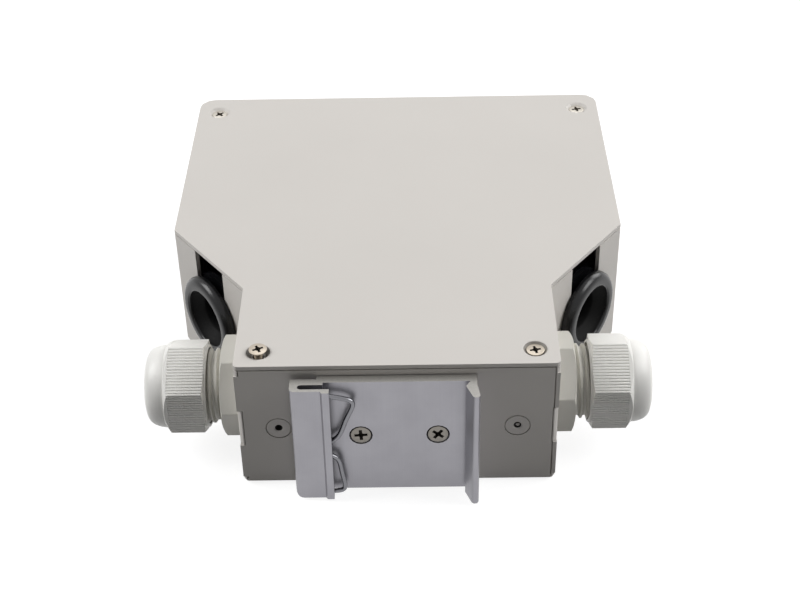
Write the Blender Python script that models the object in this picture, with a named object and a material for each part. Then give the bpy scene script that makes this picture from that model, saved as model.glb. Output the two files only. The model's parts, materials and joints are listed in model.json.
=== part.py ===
# Fibre splice and patch box for a 35 mm DIN rail, lying on its large face.
# +Z is up through the cover, -Y is the rail side, +Y is the adapter side.
# The origin is the middle of the underside. Lengths are in metres.
import math

import bmesh
import bpy
from mathutils import Matrix, Vector

MM = 0.001

# Sides of the round forms, from the large ones to the least ones
FINE, MIDDLE, SMALL, LEAST = 24, 16, 12, 8

# Room between pieces that pass through or sit in each other, on the radius
SLIP = 0.1 * MM
PASS = 0.2 * MM

# The greatest angle between faces that are shaded as one, in degrees
SMOOTHED = {"sheet": 30, "flats": 25, "wire": 60, "turned": 35}

# Sheet metal box
SHEET = 1.2 * MM
FIT_GAP = 0.3 * MM
BOX_LENGTH = 139.0 * MM
BOX_WIDTH = 128.4 * MM
BOX_HEIGHT = 40.4 * MM
NECK_WIDTH = 84.0 * MM
NECK_LENGTH = 34.0 * MM
SHOULDER_LENGTH = 29.0 * MM
FAR_CORNER_RADIUS = 4.6 * MM
NEAR_CORNER_RADIUS = 1.3 * MM
BEND_RADIUS = 1.5 * MM
FRONT_FLANGE = 13.6 * MM
SEAM_WIDTH = 0.3 * MM
RIVET_TAB_HEIGHT = 11.5 * MM
RIVET_TAB_REACH = 15.5 * MM
CORNER_NOTCH = 1.5 * MM
BEND_FLAT = 0.3 * MM
BEND_RISE = 1.2 * MM
RIVET_HEIGHT = 19.5 * MM
RIVET_INSET = 10.6 * MM
RIVET_HEAD = 6.8 * MM
RIVET_SHANK = 3.2 * MM
RIVET_HOLE = 1.9 * MM
RIVET_RECESS = 0.5 * MM
RIVET_EDGE = 0.35 * MM
RIVET_HOLLOW = 0.9 * MM
RIVET_BULB = 2.0 * MM
RIVET_BULGE = 0.7 * MM

# Cover screws and the tabs that they go into
SCREW_THREAD = 3.0 * MM
SCREW_HEAD = 5.6 * MM
SCREW_LENGTH = 7.0 * MM
COUNTERSINK = 6.8 * MM
SCREW_LIFT = 1.0 * MM
NEAR_SCREW_SIDE_INSET = 6.2 * MM
NEAR_SCREW_INSET = 6.0 * MM
FAR_SCREW_SIDE_INSET = 6.6 * MM
FAR_SCREW_INSET = 8.5 * MM
SCREW_EDGE = 0.3 * MM
COVER_TAB = 11.0 * MM
TAB_CORNER = 1.0 * MM
TAB_COLLAR = 1.4 * MM
TAB_COLLAR_WALL = 0.8 * MM
# Turn of each cover screw, in degrees
COVER_SCREW_TURNS = {"near_left": 20, "near_right": 5, "far_left": 40, "far_right": 12}
# A cross recess, as parts of the screw head's diameter
RECESS_WIDTH = 0.56
RECESS_ARM = 0.07
RECESS_DEPTH = 0.25
RECESS_FOOT = 0.5
RECESS_TAPER = 0.8

# Cable entries in the slanted shoulders
ENTRY_SLOT = 14.5 * MM
ENTRY_HEIGHT = 20.5 * MM
GROMMET_FLANGE = 24.8 * MM
GROMMET_PROUD = 3.3 * MM
GROMMET_BACK = 2.0 * MM
GROMMET_MOUTH = 15.4 * MM
GROMMET_BORE = 11.2 * MM
GROMMET_SHOULDER = 2.2 * MM
GROMMET_LIP = 0.9 * MM
GROMMET_THROAT = 0.6 * MM

# Cable glands in the neck
GLAND_HEIGHT = 19.4 * MM
GLAND_INSET = 18.2 * MM
GLAND_THREAD = 20.0 * MM
GLAND_FLATS = 24.0 * MM
GLAND_NUT_FLATS = 23.2 * MM
GLAND_COLLAR = 5.1 * MM
GLAND_STUB = 9.0 * MM
GLAND_THREAD_RUN = 9.5 * MM
GLAND_NUT_STANDOFF = 4.4 * MM
GLAND_NUT_HEX_RUN = 10.8 * MM
GLAND_NUT_LENGTH = 16.2 * MM
GLAND_DOME = 22.6 * MM
GLAND_MOUTH = 12.4 * MM
GLAND_BORE = 12.6 * MM
GLAND_COLLAR_CHAMFER = 0.7 * MM
GLAND_LEAD = 0.5 * MM
GLAND_CAGE = 3.5 * MM
GLAND_CAGE_STEP = 0.9 * MM
GLAND_CAGE_TAPER = 2.6 * MM
GLAND_FINGER_SLOT = 1.2 * MM
GLAND_FINGER_TURNS = (0, 60, 120)
GLAND_NUT_START_CHAMFER = 0.4 * MM
GLAND_NUT_END_CHAMFER = 1.6 * MM
# How far each hexagon stands turned, in degrees.
GLAND_COLLAR_TURNS = {"left": 4.5, "right": 42.3}
GLAND_NUT_TURNS = {"left": 28.4, "right": 34.6}
GLAND_DOME_ANGLES = (35, 70)
GLAND_DOME_REACH = 0.55
GLAND_DOME_RISE = 0.96
GLAND_DOME_LIP = 0.62
GLAND_NUT_ROOM = 0.5 * MM
GLAND_THROAT = 2.2 * MM
GLAND_THROAT_TAPER = 4.5 * MM
GLAND_THROAT_STEP = 0.9 * MM
SEAL_DIAMETER = 11.8 * MM
SEAL_BORE = 8.0 * MM
SEAL_START = 3.0 * MM
SEAL_HEAD = 1.1 * MM
SEAL_SETBACK = 2.4 * MM
SEAL_EDGE = 0.6 * MM
LOCK_NUT_FLATS = 25.0 * MM
LOCK_NUT_THICKNESS = 5.0 * MM
LOCK_NUT_CHAMFER = 1.2 * MM

# Rail clip, one aluminium extrusion with a wire spring in its groove
CLIP_LOW = 0.5 * MM
CLIP_LENGTH = 36.8 * MM
CLIP_PAD = 41.2 * MM
CLIP_PLATE = 2.9 * MM
CLIP_HOOK_DEPTH = 9.4 * MM
CLIP_BLOCK_REACH = 27.4 * MM
CLIP_BLOCK_DEPTH = 6.5 * MM
CLIP_BLOCK_RELIEF = 1.5 * MM
CLIP_BLOCK_EDGE = 1.4 * MM
CLIP_BLOCK_CORNER = 2.2 * MM
CLIP_GROOVE = 1.7 * MM
CLIP_GROOVE_FLOOR = 3.8 * MM
CLIP_GROOVE_REACH = 25.4 * MM
CLIP_LIP_REACH = 17.2 * MM
CLIP_LIP_RISE = 0.7 * MM
CLIP_LEDGE = 1.7 * MM
CLIP_STEP = 1.8 * MM
CLIP_STEP_FOOT = 2.3 * MM
CLIP_SCREW_SPACING = 20.2 * MM
CLIP_SCREW_SHIFT = 0.4 * MM
CLIP_SCREW_HEIGHT = 19.3 * MM
CLIP_SCREW_LENGTH = 8.0 * MM
CLIP_SINK_LEAD = 0.5 * MM
NUT_FLATS = 5.5 * MM
NUT_THICKNESS = 2.4 * MM
SPRING_WIRE = 1.3 * MM
SPRING_SIDES = 6
SPRING_STEPS = 2
# The hook's section in mm: across from the pad's edge, and out from the wall
CLIP_HOOK = [(0.0, 0.3), (-0.1, 4.4), (0.5, 8.6), (0.1, 9.4), (-0.8, 9.5), (-1.4, 9.0), (-3.0, 4.9),
             (-1.8, 2.9)]
# The wire's upper lobe in mm: across from the groove's lip, and up from the clip's top end
SPRING_UPPER = [(-5.2, -4.6), (-4.7, -3.2), (-2.4, -2.8), (0.0, -3.2), (3.0, -3.8), (5.4, -4.8), (5.7, -6.6),
                (4.0, -10.8), (1.4, -17.0), (-3.6, -20.0)]
# The lower lobe in mm: across from the lip, and up from the clip's low end
SPRING_LOWER = [(-3.6, 14.8), (0.0, 13.2), (1.5, 11.6), (2.2, 7.3), (2.8, 2.9), (2.2, 1.2), (0.0, 0.7),
                (-3.2, 0.9), (-5.2, 2.0)]

# Adapter panel
ADAPTER_COLUMNS = 3
ADAPTER_ROWS = 2
ADAPTER_PITCH_X = 31.6 * MM
ADAPTER_PITCH_Z = 15.4 * MM
ADAPTER_WIDTH = 25.8 * MM
ADAPTER_HEIGHT = 9.4 * MM
ADAPTER_RIM = 1.2 * MM
ADAPTER_RIM_DEPTH = 1.8 * MM
ADAPTER_FRONT = 12.6 * MM
ADAPTER_REAR = 13.0 * MM
PORT_WIDTH = 9.4 * MM
PORT_HEIGHT = 7.4 * MM
PORT_PITCH = 12.7 * MM
PORT_DEPTH = 10.5 * MM
SLEEVE_DIAMETER = 4.2 * MM
FERRULE_BORE = 2.6 * MM
CAP_WALL = 0.9 * MM
CAP_HEAD = 4.4 * MM
CAP_PLUG = 8.0 * MM
CAP_HEAD_TRIM = 0.8 * MM
CAP_CORNER = 0.8 * MM
SNAP_REACH = 1.0 * MM
SNAP_ROOT = 0.4 * MM
SNAP_LENGTH = 4.5 * MM
SNAP_WIDTH = 4.4 * MM
SLEEVE_SETBACK = 4.0 * MM
PANEL_MARGIN = 3.4 * MM
PANEL_CORNER = 0.8 * MM
PANEL_SCREW_INSET = 7.4 * MM
PANEL_SCREW_SPACING = 24.0 * MM
PAN_HEAD = 5.6 * MM
PAN_HEAD_RISE = 2.0 * MM
PAN_SCREW_LENGTH = 6.0 * MM
PAN_SHOULDER = 0.5
PAN_TOP = 0.75

# Splice tray on standoffs
TRAY_SIDE_ROOM = 11.0 * MM
TRAY_CAP_ROOM = 7.4 * MM
TRAY_ENTRY_ROOM = 1.96033 * MM
TRAY_DEPTH = 9.0 * MM
TRAY_WALL = 1.2 * MM
TRAY_CORNER = 22.0 * MM
TRAY_LID = 1.0 * MM
STANDOFF_HEIGHT = 6.0 * MM
STANDOFF_FLATS = 5.5 * MM
STANDOFF_FOOT = 4.2 * MM
TRAY_SCREW_LENGTH = 4.5 * MM
CABLE_WAY = 10.0 * MM
CABLE_WAY_INSET = 6.0 * MM
CABLE_WAY_SILL = 2.5 * MM
LID_WINDOW_LENGTH = 30.0 * MM
LID_WINDOW_WIDTH = 14.0 * MM
LID_WINDOW_CORNER = 6.9 * MM
SPOOL_DIAMETER = 30.0 * MM
SPOOL_SPACING = 56.0 * MM
SPOOL_BRIM = 3.0 * MM
SPOOL_BRIM_THICKNESS = 1.0 * MM
COMB_FINGERS = 7
COMB_PITCH = 3.6 * MM
COMB_FINGER = 1.0 * MM
COMB_LENGTH = 8.0 * MM
COMB_SPACING = 13.0 * MM
COMB_BASE = 1.2 * MM
COMB_CLEARANCE = 1.5 * MM

NEAR = -BOX_LENGTH / 2
FAR = BOX_LENGTH / 2
TRAY_TOP = BOX_HEIGHT - SHEET - FIT_GAP
SHOULDER_RISE = (BOX_WIDTH - NECK_WIDTH) / 2
SHOULDER_ANGLE = math.atan2(SHOULDER_RISE, SHOULDER_LENGTH)
PANEL_BACK = FAR - 2 * SHEET - FIT_GAP
PANEL_FRONT = FAR - SHEET - FIT_GAP
RIVET_ACROSS = NECK_WIDTH / 2 - RIVET_INSET
ENTRY_ACROSS = (NECK_WIDTH + SHOULDER_RISE) / 2
ENTRY_ALONG = NEAR + NECK_LENGTH + SHOULDER_LENGTH / 2
GROMMET_INSIDE = SHEET + FIT_GAP + GROMMET_BACK
TRAY_WIDTH = BOX_WIDTH - 2 * (SHEET + TRAY_SIDE_ROOM)
TRAY_FAR = PANEL_FRONT - SHEET - ADAPTER_REAR - CAP_HEAD - TRAY_CAP_ROOM


def clear_scene():
    for item in list(bpy.data.objects):
        bpy.data.objects.remove(item)


def material(name, colour, roughness, metallic=0.0, alpha=1.0):
    made = bpy.data.materials.new(name)
    made.use_nodes = True
    shader = made.node_tree.nodes["Principled BSDF"]
    shader.inputs["Base Color"].default_value = (*colour, 1.0)
    shader.inputs["Roughness"].default_value = roughness
    shader.inputs["Metallic"].default_value = metallic
    shader.inputs["Alpha"].default_value = alpha
    made.diffuse_color = (*colour, 1.0)
    return made


def upright(x, y, z=0.0):
    # A frame at a place, with its axes along the box's own.
    return Matrix.Translation((x, y, z))


def place(position, outward, up=(0, 0, 1)):
    # A frame whose z axis points outward and whose y axis is as near up as it can be.
    z = Vector(outward).normalized()
    x = Vector(up).cross(z).normalized()
    y = z.cross(x)
    turned = Matrix((x, y, z)).transposed().to_4x4()
    return Matrix.Translation(Vector(position)) @ turned


def arc(centre, radius, start, end, steps):
    points = []
    for step in range(steps + 1):
        angle = math.radians(start + (end - start) * step / steps)
        points.append((centre[0] + radius * math.cos(angle), centre[1] + radius * math.sin(angle)))
    return points


def inset(corners, distance):
    # Moves each side of a counter-clockwise outline inwards and adjusts the corner radii.
    moved = []
    count = len(corners)
    for index in range(count):
        before = Vector(corners[index - 1][:2])
        here = Vector(corners[index][:2])
        after = Vector(corners[(index + 1) % count][:2])
        first = (here - before).normalized()
        second = (after - here).normalized()
        bend = first.cross(second)
        inward = Vector((-first.y, first.x)) + Vector((-second.y, second.x))
        shift = inward * (distance / (1 + first.dot(second)))
        radius = corners[index][2]
        if radius > 0:
            radius = max(radius - math.copysign(distance, bend), PASS)
        moved.append((here.x + shift.x, here.y + shift.y, radius))
    return moved


def rounded(corners, steps=3):
    # Turns (x, y, radius) corners into points, with an arc wherever the radius isn't zero.
    points = []
    count = len(corners)
    for index in range(count):
        x, y, radius = corners[index]
        here = Vector((x, y))
        if radius <= 0:
            points.append((x, y))
            continue
        back = (Vector(corners[index - 1][:2]) - here).normalized()
        ahead = (Vector(corners[(index + 1) % count][:2]) - here).normalized()
        half = back.angle(ahead) / 2
        middle = here + (back + ahead).normalized() * (radius / math.sin(half))
        start = here + back * (radius / math.tan(half)) - middle
        end = here + ahead * (radius / math.tan(half)) - middle
        for step in range(steps + 1):
            spoke = start.lerp(end, step / steps).normalized() * radius
            points.append((middle.x + spoke.x, middle.y + spoke.y))
    return points


def rectangle(width, height, radius=0.0, centre=(0.0, 0.0)):
    x, y = centre
    signs = [(-1, -1), (1, -1), (1, 1), (-1, 1)]
    return [(x + a * width / 2, y + b * height / 2, radius) for a, b in signs]


def hexagon(flats, turn=0.0):
    radius = flats / math.sqrt(3)
    return arc((0, 0), radius, turn, turn + 300, 5)


class Shape:
    # Collects closed solids in one mesh, in place.
    def __init__(self):
        self.mesh = bmesh.new()

    def prism(self, outline, low, high, frame=Matrix()):
        ring = [self.mesh.verts.new(frame @ Vector((spot[0], spot[1], low))) for spot in outline]
        base = self.mesh.faces.new(ring)
        grown = bmesh.ops.extrude_face_region(self.mesh, geom=[base])
        moved = [item for item in grown["geom"] if isinstance(item, bmesh.types.BMVert)]
        lift = frame.to_3x3() @ Vector((0, 0, high - low))
        bmesh.ops.translate(self.mesh, vec=lift, verts=moved)
        return self

    def loft(self, foot, low, top, high, frame=Matrix()):
        # Two outlines of as many points each, joined by straight sides.
        lower = [self.mesh.verts.new(frame @ Vector((x, y, low))) for x, y in foot]
        upper = [self.mesh.verts.new(frame @ Vector((x, y, high))) for x, y in top]
        self.mesh.faces.new(lower)
        self.mesh.faces.new(upper)
        for step in range(len(foot)):
            after = (step + 1) % len(foot)
            self.mesh.faces.new([lower[step], lower[after], upper[after], upper[step]])
        return self

    def turned(self, profile, steps=FINE, frame=Matrix()):
        # The profile holds (radius, height) points round a closed section, or from axis to axis.
        loops = []
        for radius, height in profile:
            if radius <= 0:
                loops.append([self.mesh.verts.new(frame @ Vector((0, 0, height)))])
                continue
            ring = []
            for step in range(steps):
                angle = 2 * math.pi * step / steps
                spot = Vector((radius * math.cos(angle), radius * math.sin(angle), height))
                ring.append(self.mesh.verts.new(frame @ spot))
            loops.append(ring)
        closed = profile[0][0] > 0 and profile[-1][0] > 0
        pairs = list(zip(loops, loops[1:] + loops[:1])) if closed else list(zip(loops, loops[1:]))
        for first, second in pairs:
            for step in range(steps):
                after = (step + 1) % steps
                if len(first) == 1:
                    corners = [first[0], second[step], second[after]]
                elif len(second) == 1:
                    corners = [first[step], second[0], first[after]]
                else:
                    corners = [first[step], second[step], second[after], first[after]]
                self.mesh.faces.new(corners)
        return self

    def block(self, low, high):
        outline = [(low[0], low[1]), (high[0], low[1]), (high[0], high[1]), (low[0], high[1])]
        return self.prism(outline, low[2], high[2])

    def drill(self, radius, low, high, frame=Matrix(), steps=MIDDLE):
        return self.turned([(0, low), (radius, low), (radius, high), (0, high)], steps, frame)

    def finished(self, name):
        bmesh.ops.recalc_face_normals(self.mesh, faces=self.mesh.faces)
        data = bpy.data.meshes.new(name)
        self.mesh.to_mesh(data)
        self.mesh.free()
        return data


def piece(name, shape, finish, smooth=SMOOTHED["turned"]):
    data = shape.finished(name)
    data.materials.append(finish)
    data.shade_smooth()
    data.set_sharp_from_angle(angle=math.radians(smooth))
    made = bpy.data.objects.new(name, data)
    bpy.context.scene.collection.objects.link(made)
    return made


def combine(target, shape, label, operation="DIFFERENCE"):
    tool = bpy.data.objects.new(target.name + "_" + label, shape.finished(target.name + "_" + label))
    bpy.context.scene.collection.objects.link(tool)
    tool.hide_render = True
    tool.display_type = "WIRE"
    change = target.modifiers.new(label, "BOOLEAN")
    change.operation = operation
    change.solver = "EXACT"
    change.object = tool


def box_outline(shrink=0.0):
    # The footprint, counter-clockwise: neck at the near end, wide body at the far end.
    neck, wide = NECK_WIDTH / 2, BOX_WIDTH / 2
    shoulder = NEAR + NECK_LENGTH
    corners = [
        (-neck, NEAR, NEAR_CORNER_RADIUS),
        (neck, NEAR, NEAR_CORNER_RADIUS),
        (neck, shoulder, 0.0),
        (wide, shoulder + SHOULDER_LENGTH, 0.0),
        (wide, FAR, FAR_CORNER_RADIUS),
        (-wide, FAR, FAR_CORNER_RADIUS),
        (-wide, shoulder + SHOULDER_LENGTH, 0.0),
        (-neck, shoulder, 0.0),
    ]
    return inset(corners, shrink) if shrink else corners


def cover_screw_places():
    near_x, near_y = NECK_WIDTH / 2 - NEAR_SCREW_SIDE_INSET, NEAR + NEAR_SCREW_INSET
    far_x, far_y = BOX_WIDTH / 2 - FAR_SCREW_SIDE_INSET, FAR - FAR_SCREW_INSET
    return {
        "near_left": (-near_x, near_y),
        "near_right": (near_x, near_y),
        "far_left": (-far_x, far_y),
        "far_right": (far_x, far_y),
    }


def entry_frame(side):
    # Origin on the outer face of a shoulder, z outward, y up.
    outward = (side * math.cos(SHOULDER_ANGLE), -math.sin(SHOULDER_ANGLE), 0)
    return place((side * ENTRY_ACROSS, ENTRY_ALONG, ENTRY_HEIGHT), outward)


def gland_frame(side):
    # Origin on the outer face of the neck's side wall, z outward.
    return place((side * NECK_WIDTH / 2, NEAR + GLAND_INSET, GLAND_HEIGHT), (side, 0, 0))


def near_frame(x, height):
    # Origin on the near face, z towards the rail.
    return place((x, NEAR, height), (0, -1, 0))


def folded_floor(outline_corners, low, high):
    # A prism whose lower edge is rounded like a bend.
    shape = Shape().prism(rounded(outline_corners), low, high)
    edges = [e for e in shape.mesh.edges if all(abs(v.co.z - low) < 1e-6 for v in e.verts)]
    bmesh.ops.bevel(shape.mesh, geom=edges, offset=BEND_RADIUS, offset_type="OFFSET", segments=2,
                    profile=0.5, affect="EDGES", clamp_overlap=True)
    return shape


def make_housing_tray(paint):
    floor = folded_floor(box_outline(), 0, TRAY_TOP)
    tray = piece("housing_tray", floor, paint, SMOOTHED["sheet"])
    hollow = Shape().prism(rounded(box_outline(SHEET)), SHEET, TRAY_TOP + SHEET)
    combine(tray, hollow, "hollow")

    opening = BOX_WIDTH / 2 - FRONT_FLANGE
    cuts = Shape()
    cuts.block((-opening, FAR - 2 * SHEET, SHEET), (opening, FAR + SHEET, TRAY_TOP + SHEET))
    for side in (-1, 1):
        slot = arc((0, 0), ENTRY_SLOT / 2, 180, 360, 10)
        rim = TRAY_TOP - ENTRY_HEIGHT + SHEET
        slot += [(ENTRY_SLOT / 2, rim), (-ENTRY_SLOT / 2, rim)]
        cuts.prism(slot, -3 * SHEET, 2 * SHEET, entry_frame(side))
        cuts.drill(GLAND_THREAD / 2 + FIT_GAP, -2 * SHEET, SHEET, gland_frame(side), FINE)
        seam = side * (NECK_WIDTH / 2 - SHEET)
        cuts.block((seam - SEAM_WIDTH / 2, NEAR - SHEET, BEND_RADIUS),
                   (seam + SEAM_WIDTH / 2, NEAR + SHEET, TRAY_TOP + SHEET))
        rivet = near_frame(side * RIVET_ACROSS, RIVET_HEIGHT)
        cuts.drill(RIVET_HEAD / 2 + SLIP, -RIVET_RECESS, SHEET, rivet)
        screw = near_frame(CLIP_SCREW_SHIFT + side * CLIP_SCREW_SPACING / 2, CLIP_SCREW_HEIGHT)
        cuts.drill(SCREW_THREAD / 2 + PASS, -2 * SHEET, SHEET, screw, SMALL)
    combine(tray, cuts, "cuts")

    # Each corner tab's bend fills a notch in the near face's edge.
    tab_low = RIVET_HEIGHT - RIVET_TAB_HEIGHT / 2
    tab_high = tab_low + RIVET_TAB_HEIGHT
    notches, bends = Shape(), Shape()
    outer, front = NECK_WIDTH / 2, NEAR + SLIP
    inner = outer - CORNER_NOTCH + PASS
    bend = [(inner, NEAR + 2 * SHEET), (inner, front), (inner + BEND_FLAT, front),
            (outer - BEND_FLAT, front + BEND_RISE / 2), (outer, front + BEND_RISE), (outer, NEAR + 2 * SHEET)]
    for side in (-1, 1):
        ends = sorted((side * (outer - CORNER_NOTCH), side * (outer + SHEET)))
        notches.block((ends[0], NEAR - SHEET, tab_low - PASS),
                      (ends[1], NEAR + SHEET + SLIP, tab_high + PASS))
        bends.prism([(side * x, y) for x, y in bend], tab_low, tab_high)
    combine(tray, notches, "notches")

    tabs = Shape()
    for side in (-1, 1):
        wall = side * (NECK_WIDTH / 2 - SHEET / 2)
        ends = sorted((wall, wall - side * RIVET_TAB_REACH))
        tabs.block((ends[0], NEAR + SHEET + FIT_GAP, tab_low),
                   (ends[1], NEAR + 2 * SHEET + FIT_GAP, tab_high))
    for name, (x, y) in cover_screw_places().items():
        side = 1 if x > 0 else -1
        wall = NECK_WIDTH / 2 if name.startswith("near") else BOX_WIDTH / 2
        low_x, high_x = sorted((side * (wall - SHEET / 2), side * (abs(x) - COVER_TAB / 2)))
        tab = rectangle(high_x - low_x, COVER_TAB, TAB_CORNER, ((low_x + high_x) / 2, y))
        tabs.prism(rounded(tab, 1), TRAY_TOP - SHEET, TRAY_TOP)
    combine(tray, tabs, "tabs", "UNION")
    combine(tray, bends, "bends", "UNION")
    for name, (x, y) in cover_screw_places().items():
        low = TRAY_TOP - SHEET - TAB_COLLAR
        radius = SCREW_THREAD / 2 + TAB_COLLAR_WALL
        collar = Shape().drill(radius, low, TRAY_TOP - SHEET / 2, upright(x, y), SMALL)
        combine(tray, collar, "collar_" + name, "UNION")

    holes = Shape()
    for x, y in cover_screw_places().values():
        bore = SCREW_THREAD / 2 + SLIP
        holes.drill(bore, TRAY_TOP - 3 * SHEET, TRAY_TOP + SHEET, upright(x, y), SMALL)
    for side in (-1, 1):
        spot = near_frame(side * RIVET_ACROSS, RIVET_HEIGHT)
        holes.drill(RIVET_SHANK / 2 + SLIP, -4 * SHEET, SHEET, spot, SMALL)
    for x, z in panel_screw_places():
        spot = place((x, FAR, z), (0, 1, 0))
        holes.drill(SCREW_THREAD / 2 + PASS, -2 * SHEET, SHEET, spot, SMALL)
    for x, y in standoff_places().values():
        holes.drill(STANDOFF_FOOT / 2 + FIT_GAP, -SHEET, 2 * SHEET, upright(x, y), SMALL)
    combine(tray, holes, "holes")


def make_cover_plate(paint):
    low = BOX_HEIGHT - SHEET
    plate = Shape().prism(rounded(box_outline()), low, BOX_HEIGHT)
    cover = piece("cover_plate", plate, paint, SMOOTHED["sheet"])
    sinks = Shape()
    wide = COUNTERSINK / 2
    neck = wide - SHEET + SLIP
    profile = [(0, low - SHEET), (neck, low - SHEET), (neck, low), (wide, BOX_HEIGHT - SLIP),
               (wide, BOX_HEIGHT + SHEET), (0, BOX_HEIGHT + SHEET)]
    for x, y in cover_screw_places().values():
        sinks.turned(profile, MIDDLE, upright(x, y))
    combine(cover, sinks, "sinks")


def cross_outline(reach, arm):
    quarter = [(reach, -arm), (reach, arm), (arm, arm)]
    points = []
    for turn in range(4):
        cos, sin = round(math.cos(turn * math.pi / 2)), round(math.sin(turn * math.pi / 2))
        points += [(x * cos - y * sin, x * sin + y * cos) for x, y in quarter]
    return points


def cross_recess(target, frame, head):
    # A tapered cross, cut down from the frame's origin.
    reach, arm = RECESS_WIDTH * head / 2, RECESS_ARM * head
    top = cross_outline(reach, arm)
    foot = cross_outline(RECESS_FOOT * reach, RECESS_TAPER * arm)
    combine(target, Shape().loft(foot, -RECESS_DEPTH * head, top, PASS, frame), "recess")


def countersunk_screw(name, frame, finish, length):
    # The frame's origin is the top of the head.
    head, thread = SCREW_HEAD / 2, SCREW_THREAD / 2 - SLIP
    profile = [(0, -length), (thread, -length), (thread, -(head - thread) - SCREW_EDGE), (head, -SCREW_EDGE),
               (head, 0), (0, 0)]
    made = piece(name, Shape().turned(profile, SMALL, frame), finish)
    cross_recess(made, frame, SCREW_HEAD)


def pan_head_screw(name, frame, finish, length):
    # The frame's origin is the seat under the head.
    head, thread, rise = PAN_HEAD / 2, SCREW_THREAD / 2 - SLIP, PAN_HEAD_RISE
    profile = [(0, -length), (thread, -length), (thread, 0), (head, 0), (head, PAN_SHOULDER * rise),
               (PAN_TOP * head, rise), (0, rise)]
    made = piece(name, Shape().turned(profile, SMALL, frame), finish)
    cross_recess(made, frame @ upright(0, 0, rise), PAN_HEAD)


def make_cover_screws(finish):
    for name, (x, y) in cover_screw_places().items():
        lift = SCREW_LIFT if name == "near_left" else 0.0
        turn = Matrix.Rotation(math.radians(COVER_SCREW_TURNS[name]), 4, "Z")
        frame = upright(x, y, BOX_HEIGHT + lift) @ turn
        countersunk_screw("cover_screw_" + name, frame, finish, SCREW_LENGTH)


def make_tray_rivets(finish):
    # Flush blind rivets: a thin head with a hollow, and a bulb behind the riveted tab.
    head, shank, hole = RIVET_HEAD / 2 - PASS, RIVET_SHANK / 2 - PASS, RIVET_HOLE / 2
    bulb = -(2 * SHEET + 2 * FIT_GAP)
    bulge = shank + RIVET_BULGE
    profile = [(0, -RIVET_HOLLOW), (hole, -RIVET_HOLLOW), (hole, 0), (head, 0), (head, -RIVET_EDGE),
               (shank, -RIVET_EDGE - PASS / 4), (shank, bulb), (bulge, bulb - FIT_GAP),
               (bulge, bulb - RIVET_BULB), (0, bulb - RIVET_BULB)]
    for side, label in ((-1, "left"), (1, "right")):
        frame = near_frame(side * RIVET_ACROSS, RIVET_HEIGHT)
        piece("tray_rivet_" + label, Shape().turned(profile, SMALL, frame), finish)


def clip_profile():
    # The extrusion's section, looking down: x to the right, y from the wall (0) out to the rail side.
    pad = CLIP_PAD / 2
    groove = CLIP_GROOVE_FLOOR
    round_end = CLIP_GROOVE / 2
    ledge = CLIP_LIP_REACH + CLIP_LEDGE
    points = [(pad + across * MM, out * MM) for across, out in CLIP_HOOK]
    points += [(-ledge, CLIP_PLATE), (-ledge, groove)]
    points += arc((-CLIP_GROOVE_REACH + round_end, groove + round_end), round_end, 270, 90, 4)
    front = CLIP_BLOCK_DEPTH + CLIP_LIP_RISE
    points += [(-CLIP_LIP_REACH, groove + CLIP_GROOVE), (-CLIP_LIP_REACH, front)]
    points += [(-CLIP_LIP_REACH - CLIP_STEP, front), (-CLIP_LIP_REACH - CLIP_STEP_FOOT, CLIP_BLOCK_DEPTH)]
    edge = CLIP_BLOCK_EDGE
    points += arc((edge - CLIP_BLOCK_REACH, CLIP_BLOCK_DEPTH - edge), edge, 90, 180, 4)
    points += [(-CLIP_BLOCK_REACH, CLIP_BLOCK_RELIEF), (-pad, CLIP_BLOCK_RELIEF), (-pad, FIT_GAP)]
    return points


def clip_screw_frames():
    front = NEAR - CLIP_PLATE
    xs = [CLIP_SCREW_SHIFT + side * CLIP_SCREW_SPACING / 2 for side in (-1, 1)]
    return [place((x, front, CLIP_SCREW_HEIGHT), (0, -1, 0)) for x in xs]


def make_rail_clip(aluminium, steel):
    outline = [(x, NEAR - y) for x, y in clip_profile()]
    shape = Shape().prism(outline, CLIP_LOW, CLIP_LOW + CLIP_LENGTH)
    clip = piece("rail_clip", shape, aluminium, SMOOTHED["sheet"])
    neck, head, lead = SCREW_THREAD / 2 + PASS, SCREW_HEAD / 2 + FIT_GAP, CLIP_SINK_LEAD
    sink = [(0, -2 * CLIP_PLATE), (neck, -2 * CLIP_PLATE), (neck, neck - head - lead), (head, -lead),
            (head, SHEET), (0, SHEET)]
    cuts = Shape()
    for frame in clip_screw_frames():
        cuts.turned(sink, MIDDLE, frame)
    combine(clip, cuts, "screw_holes")

    # The block's low outer corner is rounded off.
    radius, outer, low = CLIP_BLOCK_CORNER, -CLIP_BLOCK_REACH, CLIP_LOW
    points = [(outer - SHEET, low - SHEET), (outer + radius, low - SHEET), (outer + radius, low)]
    points += arc((outer + radius, low + radius), radius, 270, 180, 5)[1:]
    points += [(outer - SHEET, low + radius)]
    corner = Shape().prism(points, -SHEET, CLIP_HOOK_DEPTH, near_frame(0, 0))
    combine(clip, corner, "round_corner")

    for index, (frame, label) in enumerate(zip(clip_screw_frames(), ("left", "right"))):
        turn = Matrix.Rotation(math.radians(45 * index), 4, "Z")
        seated = frame @ turn @ upright(0, 0, -SLIP)
        countersunk_screw("clip_screw_" + label, seated, steel, CLIP_SCREW_LENGTH)
        back = -(CLIP_PLATE + SHEET + FIT_GAP)
        shape = Shape().prism(hexagon(NUT_FLATS), back - NUT_THICKNESS, back, frame)
        nut = piece("clip_nut_" + label, shape, steel)
        combine(nut, Shape().drill(SCREW_THREAD / 2 + SLIP, 3 * back, 0, frame, SMALL), "bore")


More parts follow.
